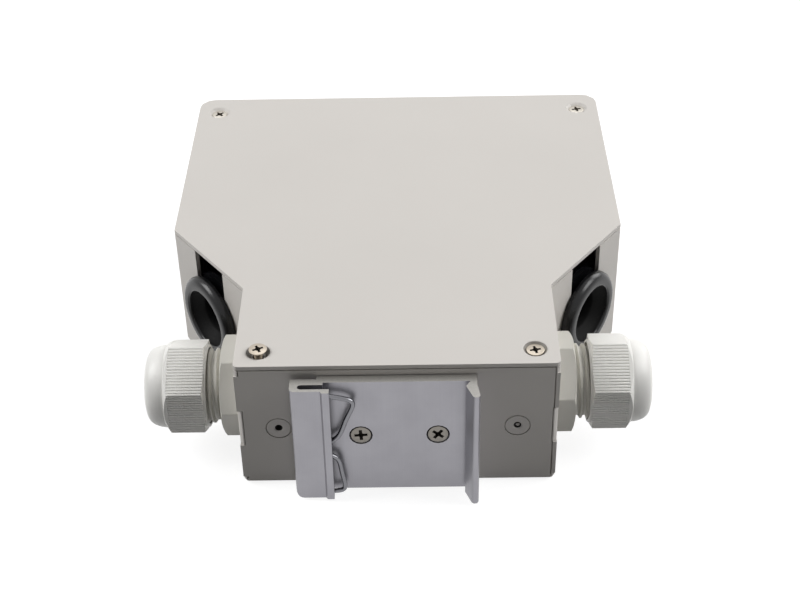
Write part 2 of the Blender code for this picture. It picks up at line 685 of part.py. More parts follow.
def smooth_route(points, steps):
    # A Catmull-Rom curve through the route's points.
    padded = [points[0], *points, points[-1]]
    route = []
    for index in range(1, len(padded) - 2):
        a, b, c, d = (Vector(p) for p in padded[index - 1:index + 3])
        for step in range(steps):
            t = step / steps
            route.append(0.5 * (2 * b + (c - a) * t + (2 * a - 5 * b + 4 * c - d) * t * t
                                + (3 * b - a - 3 * c + d) * t ** 3))
    return route + [Vector(points[-1])]


def spring_route():
    # The wire lies in the groove's plane, as (x, height). It has slid down a little in the groove.
    top = CLIP_LOW + CLIP_LENGTH
    route = [(across * MM - CLIP_LIP_REACH, top + up * MM) for across, up in SPRING_UPPER]
    route += [(across * MM - CLIP_LIP_REACH, CLIP_LOW + up * MM) for across, up in SPRING_LOWER]
    return route


def make_rail_spring(steel):
    depth = NEAR - CLIP_GROOVE_FLOOR - CLIP_GROOVE / 2
    route = smooth_route(spring_route(), SPRING_STEPS)
    sides = SPRING_SIDES
    shape = Shape()
    rings = []
    for index, spot in enumerate(route):
        run = (route[min(index + 1, len(route) - 1)] - route[max(index - 1, 0)]).normalized()
        across = Vector((run.y, 0, -run.x))
        ring = []
        for side in range(sides):
            angle = 2 * math.pi * side / sides
            offset = across * math.cos(angle) + Vector((0, math.sin(angle), 0))
            ring.append(shape.mesh.verts.new(Vector((spot.x, depth, spot.y)) + offset * SPRING_WIRE / 2))
        rings.append(ring)
    for first, second in zip(rings, rings[1:]):
        for side in range(sides):
            after = (side + 1) % sides
            shape.mesh.faces.new([first[side], first[after], second[after], second[side]])
    shape.mesh.faces.new(rings[0])
    shape.mesh.faces.new(rings[-1])
    piece("rail_spring", shape, steel, SMOOTHED["wire"])


def make_grommets(rubber):
    groove, flange = ENTRY_SLOT / 2 - FIT_GAP, GROMMET_FLANGE / 2
    bore, mouth = GROMMET_BORE / 2, GROMMET_MOUTH / 2
    back, proud, shoulder = SHEET + FIT_GAP, GROMMET_PROUD, GROMMET_SHOULDER
    section = [(bore, -back - GROMMET_BACK), (flange, -back - GROMMET_BACK), (flange, -back),
               (groove, -back), (groove, FIT_GAP), (flange, FIT_GAP)]
    section += arc((flange - shoulder, proud - shoulder), shoulder, 0, 90, 3)
    section += [(mouth, proud - GROMMET_LIP), (bore, -GROMMET_THROAT)]
    for side, label in ((-1, "left"), (1, "right")):
        shape = Shape().turned(section, FINE, entry_frame(side))
        piece("grommet_" + label, shape, rubber)


def chamfered_hexagon(flats, low, high, low_chamfer, high_chamfer, frame, steps=4):
    # A hexagon with turned ends: each flat ends in the arc that a cone leaves on it.
    shape = Shape()
    corner, flat = flats / math.sqrt(3), flats / 2
    count = 6 * steps
    profile = []
    for step in range(count):
        angle = 2 * math.pi * step / count
        from_flat = (math.degrees(angle) % 60) - 30
        profile.append((angle, flat / math.cos(math.radians(from_flat))))
    rows = []
    for height, chamfer, sign in ((low, low_chamfer, 1), (high, high_chamfer, -1)):
        rise = [height + sign * chamfer * (radius - flat) / (corner - flat) for angle, radius in profile]
        end = [(angle, min(radius, flat), height) for angle, radius in profile]
        edge = [(angle, radius, up) for (angle, radius), up in zip(profile, rise)]
        rows += [end, edge] if sign > 0 else [edge, end]
    loops = []
    for row in rows:
        spots = [frame @ Vector((radius * math.cos(a), radius * math.sin(a), up)) for a, radius, up in row]
        loops.append([shape.mesh.verts.new(spot) for spot in spots])
    for first, second in zip(loops, loops[1:]):
        for step in range(count):
            after = (step + 1) % count
            shape.mesh.faces.new([first[step], first[after], second[after], second[step]])
    shape.mesh.faces.new(loops[0])
    shape.mesh.faces.new(loops[-1])
    bmesh.ops.remove_doubles(shape.mesh, verts=shape.mesh.verts, dist=SLIP / 100)
    return shape


def gland_places():
    # Heights along a gland's axis, from the neck's wall outwards.
    collar = FIT_GAP + GLAND_COLLAR
    thread = collar + GLAND_THREAD_RUN
    nut = collar + GLAND_NUT_STANDOFF
    return {"collar": collar, "thread": thread, "cage": thread + GLAND_CAGE, "nut": nut,
            "end": nut + GLAND_NUT_LENGTH}


def make_gland_body(side, label, nylon):
    wall = gland_frame(side)
    at = gland_places()
    thread, bore = GLAND_THREAD / 2, GLAND_BORE / 2
    turned = wall @ Matrix.Rotation(math.radians(GLAND_COLLAR_TURNS[label]), 4, "Z")
    collar = chamfered_hexagon(GLAND_FLATS, FIT_GAP, at["collar"], 0.0, GLAND_COLLAR_CHAMFER, turned)
    made = piece("gland_body_" + label, collar, nylon, SMOOTHED["flats"])
    profile = [(0, -GLAND_STUB), (thread - GLAND_LEAD, -GLAND_STUB), (thread, -GLAND_STUB + GLAND_LEAD),
               (thread, at["thread"]), (thread - GLAND_CAGE_STEP, at["thread"]),
               (thread - GLAND_CAGE_TAPER, at["cage"]), (0, at["cage"])]
    combine(made, Shape().turned(profile, FINE, wall), "core", "UNION")
    combine(made, Shape().drill(bore, -GLAND_STUB - SHEET, at["cage"] + SHEET, wall), "bore")
    for turn in GLAND_FINGER_TURNS:
        bar = wall @ Matrix.Rotation(math.radians(turn), 4, "Z")
        outline = rectangle(GLAND_THREAD, GLAND_FINGER_SLOT)
        slot = Shape().prism(outline, at["thread"] + 2 * PASS, at["cage"] + SHEET, bar)
        combine(made, slot, "fingers_%d" % turn)


def make_gland_nut(side, label, nylon):
    wall = gland_frame(side)
    at = gland_places()
    start, end, hex_end = at["nut"], at["end"], at["nut"] + GLAND_NUT_HEX_RUN
    turned = wall @ Matrix.Rotation(math.radians(GLAND_NUT_TURNS[label]), 4, "Z")
    shape = chamfered_hexagon(GLAND_NUT_FLATS, start, hex_end, GLAND_NUT_START_CHAMFER,
                              GLAND_NUT_END_CHAMFER, turned)
    nut = piece("gland_nut_" + label, shape, nylon, SMOOTHED["flats"])
    dome = GLAND_DOME / 2
    run = end - hex_end
    crown = [(0, hex_end - SHEET), (dome - GLAND_LEAD, hex_end - SHEET), (dome, hex_end)]
    for angle in GLAND_DOME_ANGLES:
        cos, sin = math.cos(math.radians(angle)), math.sin(math.radians(angle))
        crown.append((dome - GLAND_DOME_REACH * run * (1 - cos), hex_end + GLAND_DOME_RISE * run * sin))
    crown += [(dome - GLAND_DOME_LIP * run, end), (0, end)]
    combine(nut, Shape().turned(crown, FINE, wall), "dome", "UNION")
    bore, mouth = GLAND_THREAD / 2 + GLAND_NUT_ROOM, GLAND_MOUTH / 2
    throat = end - GLAND_THROAT
    taper, step = GLAND_THROAT_TAPER, GLAND_THROAT_STEP
    inside = [(0, start - SHEET), (bore, start - SHEET), (bore, throat - taper - step),
              (bore - step, throat - taper), (mouth + SEAL_EDGE + SLIP, throat), (mouth, throat + SEAL_EDGE),
              (mouth, end + SHEET), (0, end + SHEET)]
    combine(nut, Shape().turned(inside, FINE, wall), "bore")


def make_gland_seal(side, label, rubber):
    at = gland_places()
    start, head_end = at["collar"] + SEAL_START, at["end"] - SEAL_SETBACK
    head = head_end - SEAL_HEAD
    outer, bore, edge = SEAL_DIAMETER / 2, SEAL_BORE / 2, SEAL_EDGE
    section = [(bore, start), (outer, start), (outer, head), (outer + edge, head), (outer + edge, head_end),
               (bore + edge, head_end), (bore, head_end - edge)]
    piece("gland_seal_" + label, Shape().turned(section, MIDDLE, gland_frame(side)), rubber)


def make_lock_nut(side, label, nylon):
    wall = gland_frame(side)
    back = -(SHEET + FIT_GAP)
    front = back - LOCK_NUT_THICKNESS
    shape = chamfered_hexagon(LOCK_NUT_FLATS, front, back, LOCK_NUT_CHAMFER, 0.0, wall, 2)
    nut = piece("gland_lock_nut_" + label, shape, nylon, SMOOTHED["flats"])
    combine(nut, Shape().drill(GLAND_THREAD / 2 + FIT_GAP, 2 * front, SHEET, wall, FINE), "bore")


def adapter_places():
    middle = SHEET + (TRAY_TOP - SHEET) / 2
    places = []
    for row in range(ADAPTER_ROWS):
        for column in range(ADAPTER_COLUMNS):
            x = (column - (ADAPTER_COLUMNS - 1) / 2) * ADAPTER_PITCH_X
            z = middle + (row - (ADAPTER_ROWS - 1) / 2) * ADAPTER_PITCH_Z
            places.append((x, z))
    return places


def adapter_frame(x, z):
    # Origin on the panel's front face, z outwards, y up.
    return place((x, PANEL_FRONT, z), (0, 1, 0))


def panel_screw_places():
    middle = SHEET + (TRAY_TOP - SHEET) / 2
    x = BOX_WIDTH / 2 - PANEL_SCREW_INSET
    return [(side * x, middle + row * PANEL_SCREW_SPACING / 2) for side in (-1, 1) for row in (-1, 1)]


def make_adapter_panel(paint):
    half = BOX_WIDTH / 2 - SHEET - PANEL_MARGIN
    low, high = SHEET + FIT_GAP, TRAY_TOP - FIT_GAP
    frame = place((0, PANEL_BACK, 0), (0, 1, 0))
    outline = rounded(rectangle(2 * half, high - low, PANEL_CORNER, (0, (low + high) / 2)), 2)
    plate = Shape().prism(outline, 0, SHEET, frame)
    panel = piece("adapter_panel", plate, paint, SMOOTHED["sheet"])
    cuts = Shape()
    for x, z in adapter_places():
        cutout = rectangle(ADAPTER_WIDTH + 2 * FIT_GAP, ADAPTER_HEIGHT + 2 * FIT_GAP)
        cuts.prism(cutout, -2 * SHEET, SHEET, adapter_frame(x, z))
    for x, z in panel_screw_places():
        cuts.drill(SCREW_THREAD / 2 + SLIP, -2 * SHEET, SHEET, adapter_frame(x, z), SMALL)
    combine(panel, cuts, "cutouts")


def make_panel_screws(steel):
    for index, (x, z) in enumerate(panel_screw_places(), 1):
        turn = Matrix.Rotation(math.radians(20 * index), 4, "Z")
        frame = place((x, FAR + PASS, z), (0, 1, 0)) @ turn
        pan_head_screw("panel_screw_%d" % index, frame, steel, PAN_SCREW_LENGTH)


def port_outlines(width, height):
    return [rectangle(width, height, 0, (side * PORT_PITCH / 2, 0)) for side in (-1, 1)]


def make_adapter(index, x, z, plastic):
    # A duplex adapter: two square ports on each side, each round a sleeve that holds the ferrules.
    frame = adapter_frame(x, z)
    rear, front = -(SHEET + ADAPTER_REAR), ADAPTER_RIM_DEPTH + ADAPTER_FRONT
    body = Shape().prism(rectangle(ADAPTER_WIDTH, ADAPTER_HEIGHT), rear, front, frame)
    made = piece("adapter_%d" % index, body, plastic, SMOOTHED["sheet"])
    outline = rectangle(ADAPTER_WIDTH + 2 * ADAPTER_RIM, ADAPTER_HEIGHT + 2 * ADAPTER_RIM)
    rim = Shape().prism(outline, FIT_GAP, FIT_GAP + ADAPTER_RIM_DEPTH, frame)
    # Snap wedges behind the panel, on the short sides.
    on_edge = frame @ Matrix.Rotation(math.radians(90), 4, "X")
    start, half = -(SHEET + FIT_GAP), ADAPTER_WIDTH / 2
    for side in (-1, 1):
        root, tip = side * (half - SNAP_ROOT), side * (half + SNAP_REACH)
        wedge = [(root, start), (tip, start), (root, start - SNAP_LENGTH)]
        rim.prism(wedge, -SNAP_WIDTH / 2, SNAP_WIDTH / 2, on_edge)
    combine(made, rim, "rim", "UNION")
    ports, sleeves, bores = Shape(), Shape(), Shape()
    for port in port_outlines(PORT_WIDTH, PORT_HEIGHT):
        ports.prism(port, front - PORT_DEPTH, front + SHEET, frame)
        ports.prism(port, rear - SHEET, rear + PORT_DEPTH, frame)
    for side in (-1, 1):
        spot = frame @ upright(side * PORT_PITCH / 2, 0)
        sleeves.drill(SLEEVE_DIAMETER / 2, rear + SLEEVE_SETBACK, front - SLEEVE_SETBACK, spot, LEAST)
        bores.drill(FERRULE_BORE / 2, rear, front, spot, LEAST)
    combine(made, ports, "ports")
    combine(made, sleeves, "sleeves", "UNION")
    combine(made, bores, "bores")


def make_cap(name, frame, plastic):
    # A duplex dust cap: two hollow plugs on one head. The frame's origin is the adapter's end, z outwards.
    outline = rectangle(ADAPTER_WIDTH - CAP_HEAD_TRIM, ADAPTER_HEIGHT - CAP_HEAD_TRIM, CAP_CORNER)
    head = Shape().prism(rounded(outline, 1), FIT_GAP, CAP_HEAD, frame)
    made = piece(name, head, plastic, SMOOTHED["sheet"])
    width, height = PORT_WIDTH - 2 * FIT_GAP, PORT_HEIGHT - 2 * FIT_GAP
    plugs, hollows = Shape(), Shape()
    for port in port_outlines(width, height):
        plugs.prism(port, -CAP_PLUG, FIT_GAP + CAP_WALL / 2, frame)
    for port in port_outlines(width - 2 * CAP_WALL, height - 2 * CAP_WALL):
        hollows.prism(port, -CAP_PLUG - SHEET, CAP_HEAD - 2 * CAP_WALL, frame)
    combine(made, plugs, "plugs", "UNION")
    combine(made, hollows, "hollows")


def make_adapters(plastic, cap_plastic):
    for index, (x, z) in enumerate(adapter_places(), 1):
        make_adapter(index, x, z, plastic)
        frame = adapter_frame(x, z)
        outside = frame @ upright(0, 0, ADAPTER_RIM_DEPTH + ADAPTER_FRONT)
        inside = frame @ upright(0, 0, -(SHEET + ADAPTER_REAR)) @ Matrix.Rotation(math.pi, 4, "Y")
        make_cap("outer_cap_%d" % index, outside, cap_plastic)
        make_cap("inner_cap_%d" % index, inside, cap_plastic)


def tray_ends():
    # The near end lies where the tray's rounded corners just clear the back of the grommets.
    across = TRAY_WIDTH / 2 - TRAY_CORNER - ENTRY_ACROSS
    reach = TRAY_CORNER + TRAY_ENTRY_ROOM + GROMMET_INSIDE + across * math.cos(SHOULDER_ANGLE)
    return ENTRY_ALONG + reach / math.sin(SHOULDER_ANGLE) - TRAY_CORNER, TRAY_FAR


def tray_middle():
    return sum(tray_ends()) / 2


def standoff_places():
    return {"left": (-SPOOL_SPACING / 2, tray_middle()), "right": (SPOOL_SPACING / 2, tray_middle())}


def make_standoffs(steel):
    # Hexagon standoffs, pressed into the floor, each with a screw down through the splice tray.
    low, high = SHEET + FIT_GAP, SHEET + STANDOFF_HEIGHT
    for label, (x, y) in standoff_places().items():
        spot = upright(x, y)
        shape = Shape().prism(hexagon(STANDOFF_FLATS), low, high, spot)
        made = piece("tray_standoff_" + label, shape, steel, SMOOTHED["sheet"])
        foot = Shape().drill(STANDOFF_FOOT / 2, PASS, low + SHEET / 2, spot, SMALL)
        combine(made, foot, "foot", "UNION")
        bore = Shape().drill(SCREW_THREAD / 2 + SLIP, 2 * SHEET, high + SHEET, spot, SMALL)
        combine(made, bore, "bore")
        seat = upright(x, y, high + 2 * FIT_GAP + TRAY_WALL)
        pan_head_screw("tray_screw_" + label, seat, steel, TRAY_SCREW_LENGTH)


def tray_outline():
    near, far = tray_ends()
    return rectangle(TRAY_WIDTH, far - near, TRAY_CORNER, (0.0, tray_middle()))


def make_splice_tray(plastic):
    base = SHEET + STANDOFF_HEIGHT + FIT_GAP
    top = base + TRAY_DEPTH
    dish = Shape().prism(rounded(tray_outline(), 5), base, top)
    tray = piece("splice_tray", dish, plastic, SMOOTHED["sheet"])
    inside = rounded(inset(tray_outline(), TRAY_WALL), 5)
    combine(tray, Shape().prism(inside, base + TRAY_WALL, top + SHEET), "hollow")
    outer, inner = SPOOL_DIAMETER / 2, SPOOL_DIAMETER / 2 - TRAY_WALL
    brim, thick = outer + SPOOL_BRIM, SPOOL_BRIM_THICKNESS
    spool = [(inner, base + TRAY_WALL / 2), (outer, base + TRAY_WALL / 2), (outer, top - 2 * thick),
             (brim, top - 2 * thick), (brim, top - thick), (inner, top - thick)]
    spools, cuts = Shape(), Shape()
    for x, y in standoff_places().values():
        spools.turned(spool, MIDDLE, upright(x, y))
        cuts.drill(SCREW_THREAD / 2 + PASS, base - SHEET, base + 2 * TRAY_WALL, upright(x, y), SMALL)
    for side in (-1, 1):
        for y in tray_ends():
            x = side * (TRAY_WIDTH / 2 - TRAY_CORNER - CABLE_WAY_INSET)
            cuts.block((x - CABLE_WAY / 2, y - 2 * TRAY_WALL, base + CABLE_WAY_SILL),
                       (x + CABLE_WAY / 2, y + 2 * TRAY_WALL, top + SHEET))
    combine(tray, spools, "spools", "UNION")
    combine(tray, cuts, "cable_ways")
    return base, top


def make_splice_lid(clear, top):
    low = top + FIT_GAP
    plate = Shape().prism(rounded(tray_outline(), 5), low, low + TRAY_LID)
    lid = piece("splice_lid", plate, clear, SMOOTHED["sheet"])
    window = rectangle(LID_WINDOW_LENGTH, LID_WINDOW_WIDTH, LID_WINDOW_CORNER, (0.0, tray_middle()))
    combine(lid, Shape().prism(rounded(window, 4), top, top + 2 * SHEET), "window")


def make_splice_combs(plastic, base, top):
    length = (COMB_FINGERS - 1) * COMB_PITCH + COMB_FINGER
    low = base + TRAY_WALL + FIT_GAP
    for index, row in enumerate((-1, 1), 1):
        middle = tray_middle() + row * COMB_SPACING
        near, far = middle - COMB_LENGTH / 2, middle + COMB_LENGTH / 2
        comb, fingers = Shape(), Shape()
        comb.block((-length / 2, near, low), (length / 2, far, low + COMB_BASE))
        for finger in range(COMB_FINGERS):
            x = (finger - (COMB_FINGERS - 1) / 2) * COMB_PITCH
            fingers.block((x - COMB_FINGER / 2, near, low + COMB_BASE / 2),
                          (x + COMB_FINGER / 2, far, top - COMB_CLEARANCE))
        made = piece("splice_comb_%d" % index, comb, plastic, SMOOTHED["sheet"])
        combine(made, fingers, "fingers", "UNION")


def main():
    clear_scene()
    paint = material("powder_coat_light_grey", (0.66, 0.63, 0.60), 0.55)
    aluminium = material("aluminium_extrusion", (0.40, 0.40, 0.43), 0.42, 1.0)
    nickel = material("nickel_plated_steel", (0.52, 0.49, 0.44), 0.30, 1.0)
    spring_steel = material("spring_steel", (0.45, 0.44, 0.42), 0.25, 1.0)
    rubber = material("black_rubber", (0.012, 0.012, 0.013), 0.55)
    nylon = material("light_grey_nylon", (0.62, 0.63, 0.58), 0.45)
    blue = material("blue_adapter_plastic", (0.02, 0.09, 0.33), 0.40)
    white = material("white_cap_plastic", (0.75, 0.75, 0.73), 0.45)
    tray_plastic = material("grey_tray_plastic", (0.34, 0.35, 0.36), 0.5)
    clear = material("clear_lid_plastic", (0.80, 0.84, 0.86), 0.15, alpha=0.35)
    make_housing_tray(paint)
    make_cover_plate(paint)
    make_cover_screws(nickel)
    make_tray_rivets(paint)
    make_rail_clip(aluminium, nickel)
    make_rail_spring(spring_steel)
    make_grommets(rubber)
    for side, label in ((-1, "left"), (1, "right")):
        make_gland_body(side, label, nylon)
        make_gland_nut(side, label, nylon)
        make_gland_seal(side, label, rubber)
        make_lock_nut(side, label, nylon)
    make_adapter_panel(paint)
    make_panel_screws(nickel)
    make_adapters(blue, white)
    make_standoffs(nickel)
    base, top = make_splice_tray(tray_plastic)
    make_splice_lid(clear, top)
    make_splice_combs(white, base, top)


main()
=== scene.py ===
# Looks for a pale grey fibre box with a rail clip: finishes, small parts, lights and camera.
import json
import math

import bpy
from mathutils import Matrix, Vector


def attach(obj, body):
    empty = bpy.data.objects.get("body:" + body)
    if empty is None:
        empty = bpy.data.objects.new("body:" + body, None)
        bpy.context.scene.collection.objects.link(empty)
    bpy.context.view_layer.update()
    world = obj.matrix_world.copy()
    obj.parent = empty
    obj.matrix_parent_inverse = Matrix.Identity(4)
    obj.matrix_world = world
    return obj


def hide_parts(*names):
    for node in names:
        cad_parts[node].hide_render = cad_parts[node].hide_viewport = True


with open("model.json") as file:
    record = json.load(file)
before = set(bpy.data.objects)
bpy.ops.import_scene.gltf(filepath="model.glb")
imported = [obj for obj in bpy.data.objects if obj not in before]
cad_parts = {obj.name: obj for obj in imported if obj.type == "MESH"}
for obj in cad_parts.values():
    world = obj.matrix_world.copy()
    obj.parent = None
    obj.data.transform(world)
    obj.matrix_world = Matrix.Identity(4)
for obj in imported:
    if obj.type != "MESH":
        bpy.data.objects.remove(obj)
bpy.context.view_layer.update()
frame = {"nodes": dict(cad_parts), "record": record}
bpy.ops.object.select_all(action="DESELECT")
nodes = frame["nodes"]
mm = 0.001
print("frame loaded,", len(nodes), "nodes")


# Nodes and colours

def hexToLinear(hexColour):
    channels = [int(hexColour[start:start + 2], 16) / 255 for start in (1, 3, 5)]
    return (*[c / 12.92 if c <= 0.04045 else ((c + 0.055) / 1.055) ** 2.4 for c in channels], 1.0)


def addNode(tree, kind, values=None, links=None, **settings):
    node = tree.nodes.new(kind)
    for name, value in settings.items():
        setattr(node, name, value)
    for socket, value in (values or {}).items():
        node.inputs[socket].default_value = value
    for socket, source in (links or {}).items():
        tree.links.new(source, node.inputs[socket])
    return node


def newMaterial(name):
    material = bpy.data.materials.new(name)
    material.use_nodes = True
    tree = material.node_tree
    return material, tree, tree.nodes["Principled BSDF"]


def feedShader(tree, shader, colour, rough, bump):
    for socket, source in (("Base Color", colour.outputs[2]), ("Roughness", rough.outputs[0]),
                           ("Normal", bump.outputs[0])):
        tree.links.new(source, shader.inputs[socket])


def blend(tree, low, high, pattern):
    # Two hex colours mixed by a pattern
    return addNode(tree, "ShaderNodeMix", {6: hexToLinear(low), 7: hexToLinear(high)},
                   {0: pattern.outputs[0]}, data_type="RGBA")


# Powder coat on folded steel: a soft satin with a fine orange peel about half a millimetre across
def makePowderCoat():
    settings = {"colour": "#D2CEC9", "shade": "#CCC8C3", "peelMm": 0.7, "cloudMm": 45.0,
                "roughMin": 0.44, "roughMax": 0.56, "peelDepthMm": 0.02}
    material, tree, shader = newMaterial("powderCoatLightGrey")
    spot = addNode(tree, "ShaderNodeTexCoord").outputs["Object"]
    cloud = addNode(tree, "ShaderNodeTexNoise", {"Scale": 1000 / settings["cloudMm"], "Detail": 3.0},
                    {"Vector": spot})
    peel = addNode(tree, "ShaderNodeTexNoise", {"Scale": 1000 / settings["peelMm"], "Detail": 2.0,
                                                "Roughness": 0.4}, {"Vector": spot})
    colour = blend(tree, settings["shade"], settings["colour"], cloud)
    rough = addNode(tree, "ShaderNodeMapRange", {"To Min": settings["roughMin"],
                                                 "To Max": settings["roughMax"]}, {"Value": peel.outputs[0]})
    bump = addNode(tree, "ShaderNodeBump", {"Strength": 0.35, "Distance": settings["peelDepthMm"] * mm},
                   {"Height": peel.outputs[0]})
    feedShader(tree, shader, colour, rough, bump)
    shader.inputs["Specular IOR Level"].default_value = 0.4
    return material


# Plain extruded aluminium: satin, with die lines that run along the clip
def makeExtrudedAluminium():
    settings = {"colour": "#9B9A9F", "shade": "#8B8A8F", "lineMm": 0.35, "runMm": 60.0, "roughMin": 0.34,
                "roughMax": 0.5, "lineDepthMm": 0.01, "stainMm": 9.0}
    material, tree, shader = newMaterial("extrudedAluminium")
    spot = addNode(tree, "ShaderNodeTexCoord").outputs["Object"]
    along = addNode(tree, "ShaderNodeMapping", {"Scale": (1.0, 1.0, settings["lineMm"] / settings["runMm"])},
                    {"Vector": spot})
    lines = addNode(tree, "ShaderNodeTexNoise", {"Scale": 1000 / settings["lineMm"], "Detail": 2.0},
                    {"Vector": along.outputs[0]})
    stain = addNode(tree, "ShaderNodeTexNoise", {"Scale": 1000 / settings["stainMm"], "Detail": 4.0},
                    {"Vector": spot})
    colour = blend(tree, settings["shade"], settings["colour"], stain)
    rough = addNode(tree, "ShaderNodeMapRange", {"To Min": settings["roughMin"],
                                                 "To Max": settings["roughMax"]}, {"Value": lines.outputs[0]})
    bump = addNode(tree, "ShaderNodeBump", {"Strength": 0.3, "Distance": settings["lineDepthMm"] * mm},
                   {"Height": lines.outputs[0]})
    feedShader(tree, shader, colour, rough, bump)
    shader.inputs["Metallic"].default_value = 1.0
    return material


# Plated, drawn and sawn metals. Fine handling marks break up the gloss.
def makeBrightMetal(name, tint, shade, roughMin, roughMax, markMm):
    settings = {"markDepthMm": 0.004, "markDetail": 5.0, "markRoughness": 0.7}
    material, tree, shader = newMaterial(name)
    spot = addNode(tree, "ShaderNodeTexCoord").outputs["Object"]
    marks = addNode(tree, "ShaderNodeTexNoise", {"Scale": 1000 / markMm, "Detail": settings["markDetail"],
                                                 "Roughness": settings["markRoughness"]}, {"Vector": spot})
    colour = blend(tree, shade, tint, marks)
    rough = addNode(tree, "ShaderNodeMapRange", {"To Min": roughMax, "To Max": roughMin},
                    {"Value": marks.outputs[0]})
    bump = addNode(tree, "ShaderNodeBump", {"Strength": 0.2, "Distance": settings["markDepthMm"] * mm},
                   {"Height": marks.outputs[0]})
    feedShader(tree, shader, colour, rough, bump)
    shader.inputs["Metallic"].default_value = 1.0
    return material


# Moulded plastics and rubber: one grain for each, from the tool's surface, and a faint cloud in the colour
def makeMoulded(name, tint, shade, roughMin, roughMax, grainMm, grainDepthMm, specular=0.5):
    settings = {"cloudScale": 120.0}  # clouds about 8 mm across
    material, tree, shader = newMaterial(name)
    spot = addNode(tree, "ShaderNodeTexCoord").outputs["Object"]
    grain = addNode(tree, "ShaderNodeTexNoise", {"Scale": 1000 / grainMm, "Detail": 3.0}, {"Vector": spot})
    cloud = addNode(tree, "ShaderNodeTexNoise", {"Scale": settings["cloudScale"], "Detail": 2.0},
                    {"Vector": spot})
    colour = blend(tree, shade, tint, cloud)
    rough = addNode(tree, "ShaderNodeMapRange", {"To Min": roughMin, "To Max": roughMax},
                    {"Value": grain.outputs[0]})
    bump = addNode(tree, "ShaderNodeBump", {"Strength": 0.3, "Distance": grainDepthMm * mm},
                   {"Height": grain.outputs[0]})
    feedShader(tree, shader, colour, rough, bump)
    shader.inputs["Specular IOR Level"].default_value = specular
    return material


powderCoat = makePowderCoat()
extrudedAluminium = makeExtrudedAluminium()
# Warm nickel plate glints on the near screws. It is brighter on the far ones, and on the clip's it is painted
# darker as painted shade.
nickelPlate = makeBrightMetal("nickelPlatedSteel", "#CBC1B3", "#AFA597", 0.22, 0.38, 0.9)
brightNickel = makeBrightMetal("brightNickelPlate", "#D6D1C8", "#BDB7AC", 0.3, 0.46, 0.9)
clipScrewNickelShade = makeBrightMetal("clipScrewNickelPaintedShade", "#8D8983", "#6E6A64", 0.3, 0.46, 0.7)
# Drawn wire keeps sharp streaks of light, and zinc plate is cooler and more even.
springWire = makeBrightMetal("drawnSpringWire", "#86868A", "#6E6E72", 0.14, 0.26, 0.5)
zincPlate = makeBrightMetal("zincPlatedSteel", "#B9BBBF", "#9FA1A5", 0.3, 0.46, 0.8)
# Painted shade in the rivet holes, the cross recesses and the cover screws' shanks, and the saw's dull grain
# on the clip's ends
rivetHoleShade = makeBrightMetal("rivetHolePaintedShade", "#4A4845", "#33312F", 0.5, 0.7, 0.6)
recessShade = makeBrightMetal("recessPaintedShade", "#45413C", "#2E2B28", 0.55, 0.75, 0.4)
shankAndRecessShade = makeBrightMetal("shankAndRecessPaintedShade", "#6A6155", "#453E36", 0.4, 0.6, 0.4)
sawnAluminium = makeBrightMetal("sawnAluminiumEnd", "#ACAAA6", "#8E8C88", 0.4, 0.6, 0.5)
# Painted shade in the near sinks, a grey ring round the heads
sinkShade = makeMoulded("sinkPaintedShade", "#8B867E", "#6E6A63", 0.5, 0.62, 0.5, 0.01)
# Moulded rubber with a soft shine on its rounded edge. Down in the throat it is painted near black with no
# shine, as painted shade.
blackRubber = makeMoulded("mouldedBlackRubber", "#101113", "#0B0B0D", 0.2, 0.3, 0.5, 0.012, 0.34)
throatShadeRubber = makeMoulded("throatPaintedShadeRubber", "#040404", "#030303", 0.6, 0.75, 0.5, 0.015, 0.15)
# Polyamide, satin on the nuts and a little darker and flatter on the bodies: the nuts' copy is painted
# lighter as painted light, the bodies' darker as painted shade
nutNylonLit = makeMoulded("nutNylonPaintedLight", "#F7F6F3", "#F1F0EB", 0.34, 0.46, 0.6, 0.012)
bodyNylonShaded = makeMoulded("bodyNylonPaintedShade", "#DDDBD4", "#D4D2CA", 0.42, 0.55, 0.6, 0.012)
# Glossy blue polyester, waxy white caps, and a flat grey tray
blueAdapter = makeMoulded("mouldedBluePbt", "#1F55A8", "#1B4B98", 0.3, 0.42, 0.5, 0.01)
whiteCap = makeMoulded("mouldedWhitePolyethylene", "#E4E4E0", "#DCDCD6", 0.38, 0.52, 0.8, 0.015)
greyTray = makeMoulded("mouldedGreyAbs", "#9B9DA0", "#929497", 0.42, 0.55, 0.4, 0.015)
# Clear polycarbonate, seen by its edges and reflections
clearLid = makeMoulded("clearPolycarbonate", "#F1F4F5", "#ECEFF1", 0.05, 0.1, 2.0, 0.004)
clearLid.node_tree.nodes["Principled BSDF"].inputs["Transmission Weight"].default_value = 1.0
clearLid.node_tree.nodes["Principled BSDF"].inputs["IOR"].default_value = 1.585
print("materials made")


# The CAD nodes take their finishes by the record's slots
finishOfSlot = {
    "painted_steel": powderCoat, "extruded_aluminium": extrudedAluminium, "plated_steel": zincPlate,
    "spring_steel": springWire, "black_rubber": blackRubber, "grey_nylon": nutNylonLit,
    "adapter_plastic": blueAdapter, "cap_plastic": whiteCap, "tray_plastic": greyTray,
    "clear_plastic": clearLid,
}
slotOfNode = {part["node"]: part["material_slot"] for part in frame["record"]["subparts"]}
for name, node in nodes.items():
    for materialSlot in node.material_slots:
        materialSlot.material = finishOfSlot[slotOfNode[name]]
bodies = frame["record"]["behaviour"]["bodies"]
bodyOfNode = {name: body for body, members in bodies.items() for name in members}


# Working in object and edit mode

def workOn(piece):
    bpy.ops.object.select_all(action="DESELECT")
    piece.select_set(True)
    bpy.context.view_layer.objects.active = piece


def editMode(piece):
    workOn(piece)
    bpy.ops.object.mode_set(mode="EDIT")
    bpy.ops.mesh.select_all(action="DESELECT")


def objectMode():
    bpy.ops.object.mode_set(mode="OBJECT")


def pick(piece, wanted):
    # Enters edit mode with only the vertices chosen that the test accepts.
    editMode(piece)
    objectMode()
    for vertex in piece.data.vertices:
        vertex.select = wanted(vertex)
    bpy.ops.object.mode_set(mode="EDIT")


